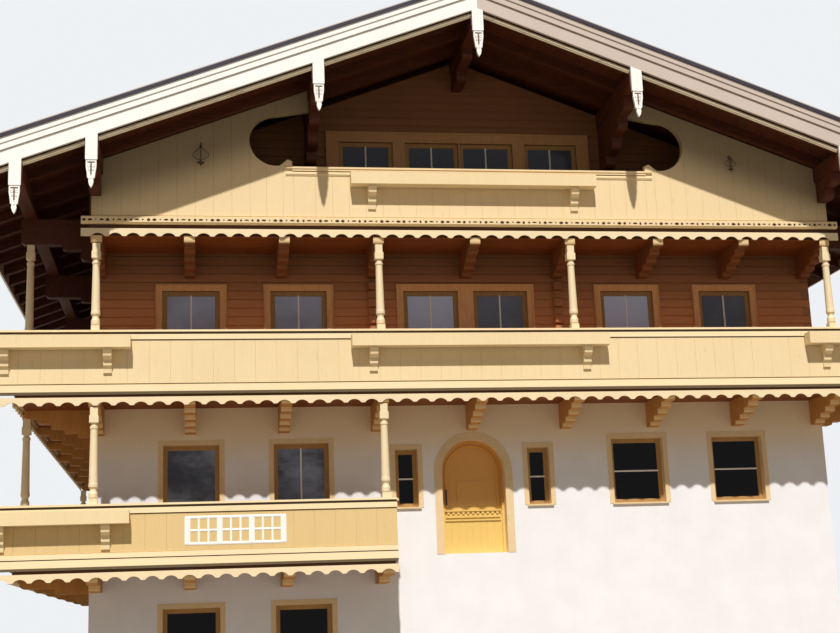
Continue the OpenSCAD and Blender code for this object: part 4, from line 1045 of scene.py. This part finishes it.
def lattice_panel():
    """A plain lattice of laths on the lower balcony's front: broad uprights, a level lath between them
    and thin laths in each bay."""
    pile = Pile()
    near, far, low, high = -5.42, -3.73, 3.24, 3.7
    back, front = REACH + 0.0105, REACH + 0.022
    uprights = np.linspace(near, far, 4)
    for z, wide in ((low, 0.05), ((low + high) / 2, 0.04), (high, 0.05)):
        moulded_bar(pile, "front", (near - 0.04, z), (far + 0.04, z), wide, back, front)
    for x in uprights:
        moulded_bar(pile, "front", (x, low), (x, high), 0.1, back, front + 0.003)
    for start, end in zip(uprights[:-1], uprights[1:]):
        for share in (0.35, 0.65):
            x = start + (end - start) * share
            moulded_bar(pile, "front", (x, low), (x, high), 0.035, back, front - 0.002)
    pile.piece("lattice_panel", "white_across", "pale_boards")


def mould_door():
    """A bead carried round the door's arched panel and down its sides."""
    radius = LEAF_R - 0.07
    turn = np.linspace(0, np.pi, 33)
    arch = np.stack([radius * np.cos(turn), DOOR_CENTRE_Z + radius * np.sin(turn)], axis=-1)
    foot = FIRST_Z + 0.88
    path = np.concatenate([[[radius, foot]], arch, [[-radius, foot]]])
    normal = np.concatenate([[[1, 0]], np.stack([np.cos(turn), np.sin(turn)], axis=-1), [[-1, 0]]])
    side = np.array([-1, -0.8, -0.3, 0.3, 0.8, 1]) * 0.017
    depth = np.array([-0.002, 0.008, 0.014, 0.014, 0.008, -0.002])
    x = path[:, None, 0] + normal[:, None, 0] * side
    z = path[:, None, 1] + normal[:, None, 1] * side
    pile = Pile()
    pile.loft(np.stack(np.broadcast_arrays(x, LEAF_Y - depth, z), axis=-1)[None])
    pile.piece("door_bead", "door", "door_wood", "front_door", smooth=True)


# Finishes of the part's own nodes
NODE_FINISH = {
    "plaster": "lower_wall_front lower_wall_back lower_wall_left lower_wall_right first_wall_back "
               "first_wall_left first_wall_right entrance_wall_left_part entrance_wall_right_part "
               "entrance_wall_over_door",
    "concrete": "ground_slab",
    "logs_x": "log_wall_front log_wall_back attic_wall",
    "logs_y": "log_wall_left log_wall_right knee_walls",
    "gable": "gable_boards_front gable_boards_back",
    "floor": "first_floor second_floor",
    "deck": "attic_floor balcony_decks",
    "parapet": "lower_balcony_parapets upper_balcony_parapets",
    "rails": "gable_fascia",
    "hanging": "valances",
    "corbel": "corbels",
    "cream": "posts",
    "brown": "purlins purlin_corbels roof_left roof_right",
    "brown_across": "rafters",
    "white": "purlin_pendants",
    "bargeboard": "bargeboards",
    "metal": "verge_flashings",
    "ochre": "window_frames",
    "glass": "window_glass",
    "casing": "window_casings",
    "bands": "painted_surrounds",
    "door": "door_frame front_door",
    "iron": "door_handle",
    "panels": "flower_boxes",
}


def finish_nodes():
    for look, names in NODE_FINISH.items():
        for name in names.split():
            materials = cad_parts[name].data.materials
            materials.clear()
            materials.append(finish[look])


def lay_floor():
    """A wide pale floor on the level of the part's base."""
    b = Bench("pale_floor")
    tone = b.noise(b.where, 0.2, 2.0)
    seen = b.node("ShaderNodeLightPath", {}, {}, "Is Camera Ray")
    shade = b.tint(seen, paint(158, 150, 136), b.tint(tone, paint(214, 214, 212), paint(224, 224, 222)))
    material = b.close(shade, tone * 0.1 + 0.85, tone, 0.001)
    half, low = 60, -0.002
    mesh = bpy.data.meshes.new("floor")
    corners = [(-half, -half, low), (half, -half, low), (half, half, low), (-half, half, low)]
    mesh.from_pydata(corners, [], [(0, 1, 2, 3)])
    mesh.materials.append(material)
    floor = bpy.data.objects.new("floor", mesh)
    bpy.context.scene.collection.objects.link(floor)


aim_camera()
lay_light()
lay_floor()
finish_nodes()
board_front_gable()
board_back_gable()
board_parapets()
carve_fascia()
line_verges()
pendant_carving()
stack_log_ends()
glaze_windows()
lay_tiles(-1, "roof_tiles_left")
lay_tiles(1, "roof_tiles_right")
cap_ridge()
hang_lanterns()
band_loggia_rail()
lattice_panel()
mould_door()

bpy.context.scene.view_settings.view_transform = "Standard"
